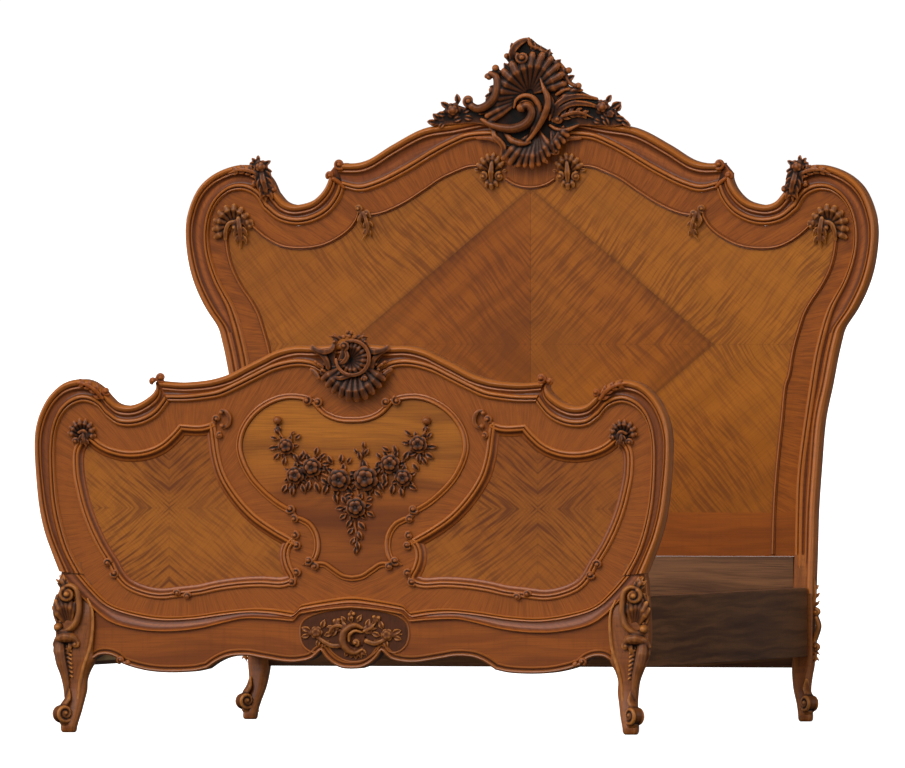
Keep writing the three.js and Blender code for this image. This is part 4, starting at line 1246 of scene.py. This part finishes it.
footboard = {
    # the right half of each moulding: its outer and inner edges
    "topOuter": [[0, 1000], [99, 991], [150, 991], [196, 980], [236, 961], [281, 939], [321, 919],
        [367, 905], [412, 899], [452, 897], [486, 899], [508, 901]],
    "topInner": [[0, 915], [70, 915], [102, 931], [135, 936], [167, 933], [207, 922], [253, 900],
        [298, 878], [344, 858], [390, 850], [435, 846], [481, 846]],
    "notchOuter": [[516, 898], [514, 886], [521, 872], [544, 853], [572, 840], [597, 838], [620, 844],
        [640, 862]],
    "notchInner": [[482, 844], [492, 831], [515, 806], [549, 788], [584, 781], [618, 785], [650, 806]],
    "earOuter": [[640, 862], [660, 884], [690, 902], [721, 905], [760, 894], [795, 864], [820, 822],
        [833, 778], [836, 734], [832, 656], [823, 573], [809, 512], [789, 457], [771, 412]],
    "earInner": [[650, 806], [669, 829], [692, 841], [715, 843], [743, 831], [766, 806], [780, 767],
        [784, 723], [782, 656], [775, 584], [760, 518], [738, 457], [708, 406]],
    # the lower moulding's two edges and the apron's shaped edge, in runs that meet at corners
    "lowerUpper": [[[712, 404], [675, 363], [635, 329], [565, 308], [489, 298], [412, 302], [336, 313],
        [260, 320], [200, 318], [150, 311]], [[134, 330], [80, 340], [19, 349], [0, 350]]],
    "lowerUnder": [[[770, 404], [706, 340], [640, 284], [552, 261], [474, 258], [398, 266], [330, 282],
        [284, 291], [208, 289], [154, 284]], [[136, 303], [80, 312], [19, 318], [0, 319]]],
    "apronEdge": [[[679, 188], [663, 197], [640, 198], [618, 190], [603, 176]], [[603, 176], [572, 166],
        [527, 157], [474, 154], [413, 157], [379, 164]], [[379, 164], [352, 182], [322, 194], [276, 197],
        [231, 190], [170, 181], [136, 182], [104, 190], [80, 211]], [[80, 211], [66, 192], [46, 176],
        [24, 167], [0, 165]]],
    # the line round each sunk panel: it starts at the C scroll by the centre and goes round outwards
    "panelLine": [[[362, 800], [385, 790], [407, 787], [455, 790]], [[455, 790], [475, 767], [504, 742],
        [538, 727], [578, 721], [618, 725], [658, 740], [698, 772]], [[698, 772], [722, 748], [735, 722],
        [736, 667], [726, 612], [712, 562], [692, 512], [669, 468], [640, 424]], [[640, 424], [626, 398],
        [601, 371], [561, 352], [509, 342], [446, 348]], [[446, 348], [401, 353], [355, 363], [298, 371],
        [241, 374], [184, 372], [150, 382]], [[150, 382], [147, 402], [161, 429], [167, 457], [160, 478],
        [146, 492]], [[146, 492], [207, 526], [258, 562], [304, 612], [335, 662], [350, 712], [356, 756],
        [362, 800]]],
    "cartouche": [[[0, 801], [24, 802], [50, 808], [74, 820], [100, 846]], [[100, 846], [120, 856],
        [150, 861], [178, 860], [207, 852], [243, 832], [270, 806], [291, 771], [298, 731], [288, 692],
        [266, 652], [234, 617], [198, 588], [160, 566]], [[160, 566], [150, 552], [134, 546], [112, 533],
        [96, 507], [92, 474], [100, 448], [114, 436]], [[114, 436], [92, 433], [74, 432], [53, 419],
        [26, 402], [0, 397]]],
    # sections across the mouldings, like the frame's
    "sunkSection": [(0, -1, -0.5), (0, -0.8, 3.2), (0, 1.2, 5.6), (0, 3.6, 6.4), (0, 5.8, 5.4),
        (0, 7.0, 3.6), (0, 8.2, 3.2), (0, 9.6, 5.6), (0, 11.6, 7.2), (0, 13.8, 6.8), (0, 15.6, 4.4),
        (0, 17.2, 1.4), (0, 20.0, -1.6), (0, 23.6, -3.8), (0, 26.4, -4.6), (0, 27.0, -6.0),
        (0, 28.4, -7.2), (0, 28.4, -11), (0, -1, -11)],
    "cartoucheSection": [(0, 0, -0.4), (0, 0.2, 2.4), (0, 1.6, 4.4), (0, 4.0, 5.0), (0, 5.6, 3.6),
        (0, 7.0, 4.4), (0, 9.6, 8.0), (0, 12.0, 8.8), (0, 14.2, 7.6), (0, 15.8, 4.6), (0, 17.2, 2.4),
        (0, 18, -0.4)],
    "lowerSection": [(0, 0, -8), (0, 0, 2.5), (0, 1.2, 6), (0, 3.2, 8), (0, 5.6, 7.6), (0, 7, 5.4),
        (0, 8.2, 5.0), (0, 9.6, 8), (0, 12, 10.8), (0, 15, 11.2), (0, 17.4, 9.4), (0, 18.6, 7.4),
        (0.6, 0, 8.0), (0.74, 0, 11.4), (1, -7.5, 15.6), (1, -6, 18), (1, -4.2, 18.8), (1, -2.2, 17.6),
        (1, -0.8, 14.4), (1, 0, 10), (1, 0, -8)],
    "apronSection": [(0, 0, -32), (0, 0, 13), (0, 1.2, 16.4), (0, 3.8, 18), (0, 6.6, 17.4), (0, 8.6, 14.6),
        (0, 9.8, 10.2), (0, 11.2, 9.3), (0, 12.8, 9.6), (0, 14, 12), (0, 16, 12.8), (0, 18, 11.6),
        (0, 19, 9.4), (0, 19, -32)],
    "panelFloor": -7.0, "panelBack": 20, "boardThick": 22, "cartoucheWidth": 18, "apronWidth": 19,
    "apronFront": -9, "apronBack": 34, "backFront": 22.2, "backBack": 30,
}


def cornered(lines, step=6.0):
    # smooth runs that meet at corners
    return joined(*[smoothRun(line, step) for line in lines])


footTopOuter, footTopInner = smoothRun(footboard["topOuter"]), smoothRun(footboard["topInner"])
footNotchOuter, footNotchInner = smoothRun(footboard["notchOuter"]), smoothRun(footboard["notchInner"])
footEarOuter = joined(footNotchOuter, smoothRun(footboard["earOuter"]))
footEarInner = joined(footNotchInner, smoothRun(footboard["earInner"]))
lowerUpper, lowerUnder = cornered(footboard["lowerUpper"]), cornered(footboard["lowerUnder"])
apronEdge = cornered(footboard["apronEdge"], 4)
panelLine = cornered(footboard["panelLine"], 4)[:-1]
cartoucheHalf = cornered(footboard["cartouche"], 4)


def footFrame():
    outer, inner = matched(whole(footTopOuter), whole(footTopInner), 180)
    moulding("footTopRail", outer, inner, frameSection, footFace, finishes["moulding"], "walnut_frame",
             replaces=["foot_top_rail"])
    for side, hand in hands:
        notch = matched(footNotchOuter, footNotchInner, 28)
        ear = matched(footEarOuter[len(footNotchOuter) - 1:], footEarInner[len(footNotchInner) - 1:], 110)
        moulding("footShoulder_" + hand, sided(joined(notch[0], ear[0]), side),
                 sided(joined(notch[1], ear[1]), side), frameSection, footFace, finishes["moulding"],
                 "walnut_frame", replaces=["foot_shoulder_" + hand])
    outer, inner = matched(whole(lowerUpper[::-1]), whole(lowerUnder[::-1]), 260)
    moulding("footLowerMoulding", outer, inner, footboard["lowerSection"], footFace, finishes["moulding"],
             "walnut_frame", replaces=["foot_lower_moulding"])
    # the apron below it, with a rounded bead worked on its shaped edge
    under = whole(apronEdge[::-1])
    top = whole(np.vstack([lowerUnder[::-1][:-24], [[679, 300]]]) + np.array([0, 8]))
    slab("footApron", np.vstack([under, top[::-1]]), footFace + footboard["apronFront"],
         footFace + footboard["apronBack"], finishes["apron"], "walnut_frame", replaces=["foot_apron"])
    moulding("footApronBead", under, offsetBy(under, footboard["apronWidth"]), footboard["apronSection"],
             footFace, finishes["apronEdge"], "walnut_frame")
    print("footboard frame made")


def footBoards():
    inside = joined(footTopInner, footEarInner, [[708, 406]])
    outline = np.vstack([whole(inside), whole(lowerUpper[::-1])[::-1][1:-1]])
    holes = []
    for side, hand in hands:
        line = sided(panelLine, side)
        inward = -1 if side > 0 else 1
        floor = offsetBy(line, inward * 28.0, True)
        holes.append(offsetBy(line, -inward * 0.8, True))
        moulding("footPanelMoulding_" + hand, line, floor, footboard["sunkSection"], footFace,
                 finishes["moulding"], "walnut_frame", closed=True, replaces=["foot_panel_bead_" + hand])
        slab("footSunkPanel_" + hand, offsetBy(line, inward * 27.2, True),
             footFace - footboard["panelFloor"], footFace + footboard["panelBack"], finishes["footField"],
             "walnut_veneer", replaces=["foot_sunk_panel_" + hand])
    line = np.vstack([cartoucheHalf, sided(cartoucheHalf, -1)[1:-1][::-1]])
    holes.append(line)
    back = footFace + footboard["boardThick"]
    slab("footBoard", outline, footFace, back, finishes["footBorder"], "walnut_frame", holes=holes,
         replaces=["foot_board"])
    slab("footBackBoard", offsetBy(outline, 0.5), footFace + footboard["backFront"],
         footFace + footboard["backBack"], finishes["back"], "walnut_frame")
    slab("footCentrePanel", line, footFace, back, finishes["centre"], "walnut_veneer")
    bead("footCartouche", line, footboard["cartoucheWidth"], footboard["cartoucheSection"], footFace,
         finishes["moulding"], "walnut_frame", closed=True, replaces=["foot_cartouche"])
    print("footboard boards made")


# scrolls where the mouldings stop and turn
footTopScroll = {
    "name": "footTopScroll_", "finish": "scrolls", "slot": "walnut_frame",
    "fineness": 1.5, "soften": 2,
    "work": [
        ["volute", 500, 909, 17, 17, 1.3, -110, 1, 5.5, {"deep": 1.2}],
        ["volute", 521, 901, 12, 17, 1.1, -60, 1, 4.5, {"deep": 1.2}],
        ["plate", [[486, 899], [508, 901], [518, 896], [500, 868], [482, 846]], -24, 8],
        ["volute", 644, 874, 14, 19, 1.2, -120, 1, 5, {"deep": 1.3}],
        ["leaf", [[654, 856], [676, 880], [700, 892], [730, 896]], 26, [20, 24, 24, 20], 4],
    ],
}

# scrolls and knobs along the sunk panels' mouldings
footPanelScrolls = {
    "name": "footPanelScrolls_", "finish": "carving", "slot": "walnut_carving",
    "fineness": 1.4, "soften": 2,
    "work": [
        ["volute", 356, 804, 14, 7, 1.2, -60, 1, 4.5],
        ["stroke", [[344, 826], [330, 822], [322, 806], [326, 788], [340, 780]], [4, 5.5, 6, 5.5, 4],
         [8, 9, 9, 9, 8], 1, 0.3],
        ["ball", 345, 820, 6.5, 9],
        ["ball", 342, 786, 6.5, 9],
        ["volute", 348, 762, 12, 7, 1.2, 90, -1, 4.2],
        ["volute", 607, 186, 13, 15, 1.3, -60, 1, 5, {"deep": 1.4}],
        ["volute", 589, 178, 9, 15, 1.1, 60, 1, 4, {"deep": 1.4}],
        *[["volute", x, z, r, 7, 1.3, start, spin, 4.2]
          for x, z, r, start, spin in ((644, 434, 15, 160, -1), (626, 408, 15, -20, -1),
                                       (460, 358, 13, 0, 1), (434, 350, 13, 160, -1),
                                       (158, 388, 14, -60, -1), (146, 410, 14, 60, 1),
                                       (146, 482, 14, -60, -1), (150, 506, 14, 90, 1))],
    ],
}

# scrolls along the cartouche
footCartoucheScrolls = {
    "name": "footCartoucheScrolls_", "finish": "carving", "slot": "walnut_carving",
    "fineness": 1.4, "soften": 2,
    "work": [
        *[["volute", x, z, r, 8, 1.3, start, spin, 4.4]
          for x, z, r, start, spin in ((162, 574, 16, -30, -1), (152, 548, 14, 60, 1),
                                       (114, 442, 15, -60, -1), (98, 427, 13, 100, 1),
                                       (90, 848, 15, -90, -1), (118, 851, 16, 120, 1))],
    ],
}

# corner shells
footCorner = {
    "name": "footShell_", "finish": "carving", "slot": "walnut_carving",
    "fineness": 1.2, "soften": 2, "replaces": "foot_shell_",
    "work": [
        ["fan", 711, 756, [(680, 760), (681, 776), (689, 790), (702, 798), (717, 799), (731, 793),
         (741, 781), (744, 766)], 4, 0.36, 7],
        ["volute", 686, 758, 11, 8, 1.2, 0, 1, 4],
        ["volute", 729, 746, 12, 8, 1.2, 180, -1, 4],
        ["leaf", [[708, 764], [706, 748], [700, 732]], 24, [10, 10, 6], 2],
        ["stroke", [[696, 762], [706, 772], [720, 768]], [4, 5, 4], [8, 10, 8], 1, 0.3],
        ["plate", [[684, 762], [692, 784], [712, 793], [734, 782], [740, 762], [712, 742]], -0.5, 4],
    ],
}


def footOrnaments():
    for side, hand in hands:
        for ornament in (footTopScroll, footPanelScrolls, footCartoucheScrolls, footCorner):
            carve(ornament, footFace, side, hand)
    print("footboard ornaments made")


def footCrestSide(side):
    # a leaf scroll over the rail, and the ends of the rail's mouldings, on one side
    return [
        ["stroke", [[side * 40, 1000], [side * 46, 984], [side * 62, 976], [side * 84, 980],
         [side * 100, 992]], [5, 7, 8, 6, 3], [28, 31, 31, 28, 25], 1, 0.45],
        ["volute", side * 40, 1002, 11, 28, 1.0, 90, side, 4.5],
        ["stroke", [[side * 100, 984], [side * 78, 972], [side * 62, 954], [side * 57, 936]], [6, 7, 7, 7],
         [24, 26, 27, 26], 1, 0.3],
        ["stroke", [[side * 104, 930], [side * 92, 922], [side * 84, 908]], [6, 6, 6], [16, 20, 22], 1,
         0.3],
        *[["stroke", [[side * (x - 12), z - 8], [side * x, z]], [3.5, 4.5], [22, 24]]
          for x, z in ((66, 944), (74, 930), (84, 944), (92, 950))],
        ["plate", [[side * 40, 980], [side * 96, 984], [side * 70, 950], [side * 86, 912],
         [side * 44, 930]][::side], -20, 18],
    ]


footCrestPlan = {
    "name": "footCrest", "finish": "crest", "slot": "walnut_carving",
    "fineness": 1.4, "soften": 1, "replaces": "foot_crest",
    "work": [
        # round shell seen from inside, with its rolled rim
        ["fan", -2, 955, arc(9, 960, 38, -165, 130, 22), 25, 0.2, 6, 0.5],
        ["stroke", arc(9, 960, 44, -175, 142, 12), [4, 5, 5, 5, 4], [36, 39, 39, 38, 34], 1, 0.4],
        ["plate", arc(9, 960, 42, -175, 142, 12), -20, 22],
        ["volute", -13, 991, 15, 40, 1.5, -60, 1, 4.2],
        ["stroke", [[-9, 980], [-5, 964], [-13, 951], [-28, 945]], [4, 6, 6, 3], [38, 38, 37, 33], 1, 0.5],
        # lower fan
        ["fan", 8, 958, [(-68, 908), (-56, 892), (-40, 878), (-22, 866), (-3, 857), (18, 857), (40, 863),
         (58, 875), (75, 891), (86, 908)], 24, 0.4, 8, 0.56],
        ["volute", 40, 906, 11, 34, 1.2, 180, -1, 4],
        ["stroke", [[-44, 912], [-24, 908], [-2, 914], [26, 918], [40, 916]], [3, 6, 6, 5, 3],
         [32, 35, 36, 35, 33], 1, 0.4],
        ["plate", [[-68, 904], [-44, 878], [6, 862], [60, 880], [84, 904], [50, 940], [-50, 940]], -20,
         22],
        *footCrestSide(-1),
        *footCrestSide(1),
        # finial berries
        *[["ball", x, z, r, 30]
          for x, z, r in ((-6, 1026, 6), (4, 1024, 6), (-1, 1016, 7), (-16, 1014, 6), (14, 1014, 6))],
        ["leaf", [[-24, 1008], [-40, 1016], [-58, 1014]], 16, [29, 30, 26], 2],
        ["leaf", [[20, 1010], [38, 1016], [54, 1010]], 16, [29, 30, 26], 2],
    ],
}


garland = {
    "fineness": 1.5,
    # [x, z, radius] of each flower
    "roses": ((-172, 734, 20), (-148, 660, 22), (-104, 680, 24), (-32, 648, 28), (38, 652, 30),
        (102, 690, 24), (136, 654, 22), (176, 740, 22), (12, 578, 25)),
    # the lines of the stems that join them
    "stems": ([[-180, 750], [-160, 710], [-130, 690], [-104, 680], [-70, 660], [-32, 648], [4, 640],
        [38, 652], [70, 664], [102, 686], [140, 700], [176, 742]], [[6, 640], [16, 610], [12, 578],
        [6, 540], [14, 500], [10, 478]], [[20, 660], [24, 700], [32, 730]], [[-148, 660], [-160, 640],
        [-168, 622]], [[-104, 680], [-96, 710], [-90, 726]]),
    # [x, z, length, degrees] of each leaf
    "leaves": ((-196, 752, 20, 160), (-198, 732, 22, 190), (-192, 716, 22, 230), (-176, 706, 22, 260),
        (-152, 714, 22, 300), (-150, 752, 20, 40), (-196, 766, 16, 120), (-136, 700, 24, 60),
        (-124, 706, 20, 100), (-96, 712, 22, 75), (-84, 704, 20, 40), (-80, 690, 22, 0),
        (-172, 636, 24, 240), (-156, 630, 24, 265), (-132, 636, 24, 290), (-112, 644, 24, 260),
        (-96, 640, 26, 290), (-80, 652, 24, 320), (-66, 668, 20, 110), (-52, 690, 24, 120),
        (-30, 692, 24, 80), (-12, 690, 20, 60), (22, 700, 22, 100), (34, 712, 20, 60), (30, 730, 18, 85),
        (16, 716, 18, 130), (-66, 636, 26, 250), (-46, 612, 26, 285), (-26, 606, 24, 300),
        (0, 612, 22, 200), (70, 640, 24, -60), (66, 676, 22, 80), (84, 664, 26, -80), (78, 702, 22, 130),
        (98, 722, 22, 150), (118, 716, 24, 110), (136, 700, 26, 60), (150, 712, 22, 20),
        (160, 690, 24, -50), (108, 636, 26, -100), (128, 628, 24, -80), (150, 636, 24, -30),
        (92, 650, 24, -120), (194, 716, 24, -30), (202, 734, 22, 0), (198, 756, 20, 50),
        (156, 762, 22, 140), (150, 742, 20, 170), (176, 714, 24, -90), (186, 706, 22, -60),
        (-22, 578, 22, 190), (-16, 560, 22, 215), (40, 566, 22, -30), (38, 596, 20, 30), (44, 614, 22, 60),
        (-2, 546, 24, 240), (18, 540, 26, -50), (2, 524, 22, 230), (18, 516, 22, -70), (6, 500, 20, 240),
        (14, 490, 22, -80), (10, 476, 20, 265), (-160, 766, 14, 30), (60, 620, 22, -40)),
}


def footGarland():
    c = Carving(footFace)
    for side in (-1, 1):
        c.ball(side * 196, 800, 12, 7)
        c.stroke([[side * 196, 790], [side * 192, 772], [side * 180, 754]], [3, 3, 3], [4, 7, 8])
        c.simpleLeaf(side * 194, 786, 15, -60 if side > 0 else -120, 5)
        c.simpleLeaf(side * 194, 786, 15, -120 if side > 0 else -60, 5)
    for i, (x, z, r) in enumerate(garland["roses"]):
        c.rose(x, z, r, 11, i * 0.7)
        c.ball(x, z, r * 0.85, 4, 0.8)
        for k in range(6):
            angle = 60 * k + 23 * i
            a = math.radians(angle)
            c.simpleLeaf(x + math.cos(a) * r * 0.72, z + math.sin(a) * r * 0.72, r * 0.9, angle + 12,
                         4 + (k % 2) * 3)
    # stems that join the flowers
    for line in garland["stems"]:
        c.stroke(line, 3.4, 5)
    for x, z, size, angle in garland["leaves"]:
        c.simpleLeaf(x, z, size, angle, 7)
        c.ball(x, z, 3.4, 4)
    c.fuse("footGarland", garland["fineness"], finishes["crest"], 1,
           replaces=["foot_garland"])


# a C scroll with flowers and leaves trailing from it
apronCarving = {
    "name": "footApronCarving", "finish": "apronCarving", "slot": "walnut_carving",
    "fineness": 1.4, "soften": 1, "replaces": "foot_apron_carving",
    "work": [
        ["volute", 12, 232, 12, 24, 1.2, -60, 1, 4.5, {"deep": 1.2}],
        ["stroke", [[34, 268], [8, 276], [-16, 262], [-22, 236], [-10, 214], [10, 206], [28, 214]],
         [3, 7, 9, 10, 9, 7, 4], [22, 25, 26, 26, 26, 25, 23]],
        ["stroke", [[30, 258], [10, 262], [-4, 252], [-6, 236]], [2, 4, 5, 3], [24, 26, 26, 24]],
        ["leaf", [[-14, 268], [-34, 276], [-52, 268], [-60, 250]], 24, [25, 26, 25, 22], 3],
        ["leaf", [[34, 262], [52, 270], [66, 286]], 20, [24, 24, 22], 2],
        *[["simpleLeaf", *toward(12, 232, 22, a), 20, a, 21]
          for a in (230, 250, 270, 290, 310)],
        ["stroke", [[-24, 224], [-50, 224], [-74, 236], [-96, 250], [-128, 262]], [6, 6, 5, 4, 2],
         [24, 24, 23, 22, 20], 1, 0.3],
        ["stroke", [[40, 236], [62, 230], [84, 238], [104, 248], [132, 254]], [6, 6, 5, 4, 2],
         [24, 24, 23, 22, 20], 1, 0.3],
        *[cut
          for x, z, r in ((-92, 258, 15), (94, 252, 15), (-38, 284, 9), (66, 292, 9))
          for cut in (["rose", x, z, r, 22], ["ball", x, z, r * 0.8, 19, 0.7])],
        *[["simpleLeaf", x, z, size, angle, 21]
          for x, z, size, angle in ((-108, 262, 24, 160), (-112, 250, 20, 190), (-78, 270, 22, 70),
                                    (-70, 250, 22, 20), (-60, 236, 22, 220), (-84, 240, 20, 250),
                                    (-50, 250, 24, 60), (-34, 262, 22, 110), (108, 256, 24, 20),
                                    (112, 246, 20, -15), (82, 268, 22, 110), (74, 250, 22, 160),
                                    (62, 238, 22, -40), (88, 238, 20, -70), (52, 254, 24, 120),
                                    (40, 272, 22, 70), (0, 284, 22, 100), (16, 286, 20, 60),
                                    (-16, 286, 18, 130), (56, 284, 18, 30), (8, 214, 20, -80),
                                    (26, 212, 18, -40), (-8, 212, 18, -120), (0, 300, 16, 90))],
        *[["ball", x, z, 5, 23]
          for x, z in ((-4, 304), (6, 306), (1, 296), (-44, 288), (-34, 290), (60, 298), (72, 296))],
        ["plate", [[-30, 262], [0, 284], [36, 272], [44, 240], [30, 210], [4, 200], [-24, 214]], 16, 19],
    ],
}

# the shaped dark ground behind it, and the bead round that
apronGround = {
    "outline": [[8, 320], [60, 316], [122, 300], [144, 284], [151, 254], [142, 224], [120, 208], [98, 210],
        [82, 232], [64, 208], [34, 188], [6, 183], [-22, 188], [-52, 208], [-68, 232], [-86, 210],
        [-106, 208], [-128, 224], [-136, 254], [-130, 284], [-108, 300], [-46, 316], [8, 320]],
    "section": [(0, 0, 5), (0, 0.3, 10.4), (0, 1.6, 12.4), (0.5, 0, 13), (1, -1.6, 12.4), (1, -0.3, 10.4),
        (1, 0, 5)],
    "beadWidth": 6, "front": -10, "back": -4,
}


def footCrest():
    carve(footCrestPlan, footFace)
    footGarland()
    carve(apronCarving, footFace + 9)
    field = smoothRun(apronGround["outline"], 5)[:-1]
    slab("footApronField", field, footFace + apronGround["front"], footFace + apronGround["back"],
         finishes["apronField"], "walnut_frame")
    bead("footApronFieldBead", field, apronGround["beadWidth"], apronGround["section"], footFace,
         finishes["apronEdge"], "walnut_frame", closed=True)
    print("footboard carvings made")


undercarriageEdges = {"rail": 3.0, "strip": 2.0, "slat": 3.0}  # how far each board's arrises are eased, mm


def undercarriage():
    edges = undercarriageEdges
    for _, hand in hands:
        low, high = (v * 1000 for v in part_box("rail_" + hand))
        plank("sideRail_" + hand, tuple(low), tuple(high), finishes["rail"], "walnut_frame", edges["rail"],
              replaces=["rail_" + hand])
        low, high = (v * 1000 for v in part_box("ledger_" + hand))
        plank("bearerStrip_" + hand, tuple(low), tuple(high), finishes["beech"], "beech_slats",
              edges["strip"], replaces=["ledger_" + hand])
    for name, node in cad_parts.items():
        if name.startswith("slat_"):
            low, high = (v * 1000 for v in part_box(name))
            plank(name.replace("slat_", "crossSlat_"), tuple(low), tuple(high), finishes["beech"],
                  "beech_slats", edges["slat"], replaces=[name], body=name + "_body")
        elif name.startswith("hook_plate") or "_pin_" in name:
            node.data.materials.clear()
            node.data.materials.append(finishes["steel"])
    print("rails and slats made")


studio = {"azimuth": 13.446, "elevation": 0.345, "distance": 75.52, "lens": 1160.4,
          "target": (0.0306, 0.0, 0.8877), "floor": 3000.0, "floorTone": (0.90, 0.90, 0.90),
          "floorGlow": 0.88, "domeLow": 0.05, "domeHigh": 0.08, "window": 0.5, "sideStrip": 1.3,
          "suns": (("keyLight", -19, 36, 1.75, 44), ("fillLight", 36, 20, 0.35, 60),
                   ("backLight", 205, 16, 0.8, 50))}


def sun(name, azimuth, elevation, strength, softness):
    lamp = bpy.data.lights.new(name, "SUN")
    lamp.energy, lamp.angle = strength, math.radians(softness)
    holder = bpy.data.objects.new(name, lamp)
    a, e = math.radians(azimuth), math.radians(elevation)
    back = Vector((math.sin(a) * math.cos(e), -math.cos(a) * math.cos(e), math.sin(e)))
    holder.rotation_mode = "QUATERNION"
    holder.rotation_quaternion = back.to_track_quat("Z", "Y")
    holder.visible_glossy = name != "backLight"
    bpy.context.scene.collection.objects.link(holder)


def makeStudio():
    reach = studio["floor"]
    mesh = bpy.data.meshes.new("floor")
    corners = [(-reach, -reach, 0), (reach, -reach, 0), (reach, reach, 0), (-reach, reach, 0)]
    mesh.from_pydata(corners, [], [(0, 1, 2, 3)])
    floor = bpy.data.objects.new("floor", mesh)
    bpy.context.scene.collection.objects.link(floor)
    f = Finish("paleFloor")
    f.shader.inputs["Emission Strength"].default_value = studio["floorGlow"]
    f.shader.inputs["Emission Color"].default_value = (1, 1, 1, 1)
    mesh.materials.append(f.polish(studio["floorTone"], 1.0, specular=0.0))
    floor.visible_glossy = floor.visible_diffuse = False

    # a dim dome lights the bed; behind it everything is plain white
    sky = Finish("studioDome", "Background", bpy.data.worlds)
    bpy.context.scene.world = sky.material
    seen = sky.node("ShaderNodeLightPath")
    direction = sky.node("ShaderNodeTexCoord")
    split = sky.node("ShaderNodeSeparateXYZ", inputs=[direction]).socket.node.outputs
    east, north, up = (Value(sky, out) for out in split)
    window = (up * 0.55 - east * 0.5 - north * 0.67).between(0.45, 0.95)
    strip = (east.size() * 0.92 + up * 0.2 - north * 0.2).between(0.78, 0.96)
    ground = up.between(-0.25, 0.05, studio["domeLow"], studio["domeHigh"])
    glow = ground + window * studio["window"] + strip * studio["sideStrip"]
    sky.tree.links.new((glow * (1 - seen) + seen * 1.05).socket, sky.shader.inputs[1])
    sky.shader.inputs[0].default_value = (1, 1, 1, 1)

    for name, azimuth, elevation, strength, softness in studio["suns"]:
        sun(name, azimuth, elevation, strength, softness)
    bpy.context.scene.view_settings.view_transform = "Standard"

    camera = bpy.data.cameras.new("camera")
    camera.lens, camera.sensor_width = studio["lens"], 36
    camera.clip_start, camera.clip_end = 1, 5000
    holder = bpy.data.objects.new("camera", camera)
    a, e = math.radians(studio["azimuth"]), math.radians(studio["elevation"])
    back = Vector((math.sin(a) * math.cos(e), -math.cos(a) * math.cos(e), math.sin(e)))
    holder.location = Vector(studio["target"]) + back * studio["distance"]
    holder.rotation_mode = "QUATERNION"
    holder.rotation_quaternion = back.to_track_quat("Z", "Y")
    bpy.context.scene.collection.objects.link(holder)
    bpy.context.scene.camera = holder


headFrame()
headBoards()
headBeads()
headOrnaments()
headCrest()
legs()
footFrame()
footBoards()
footOrnaments()
footCrest()
undercarriage()
makeStudio()

print("done")
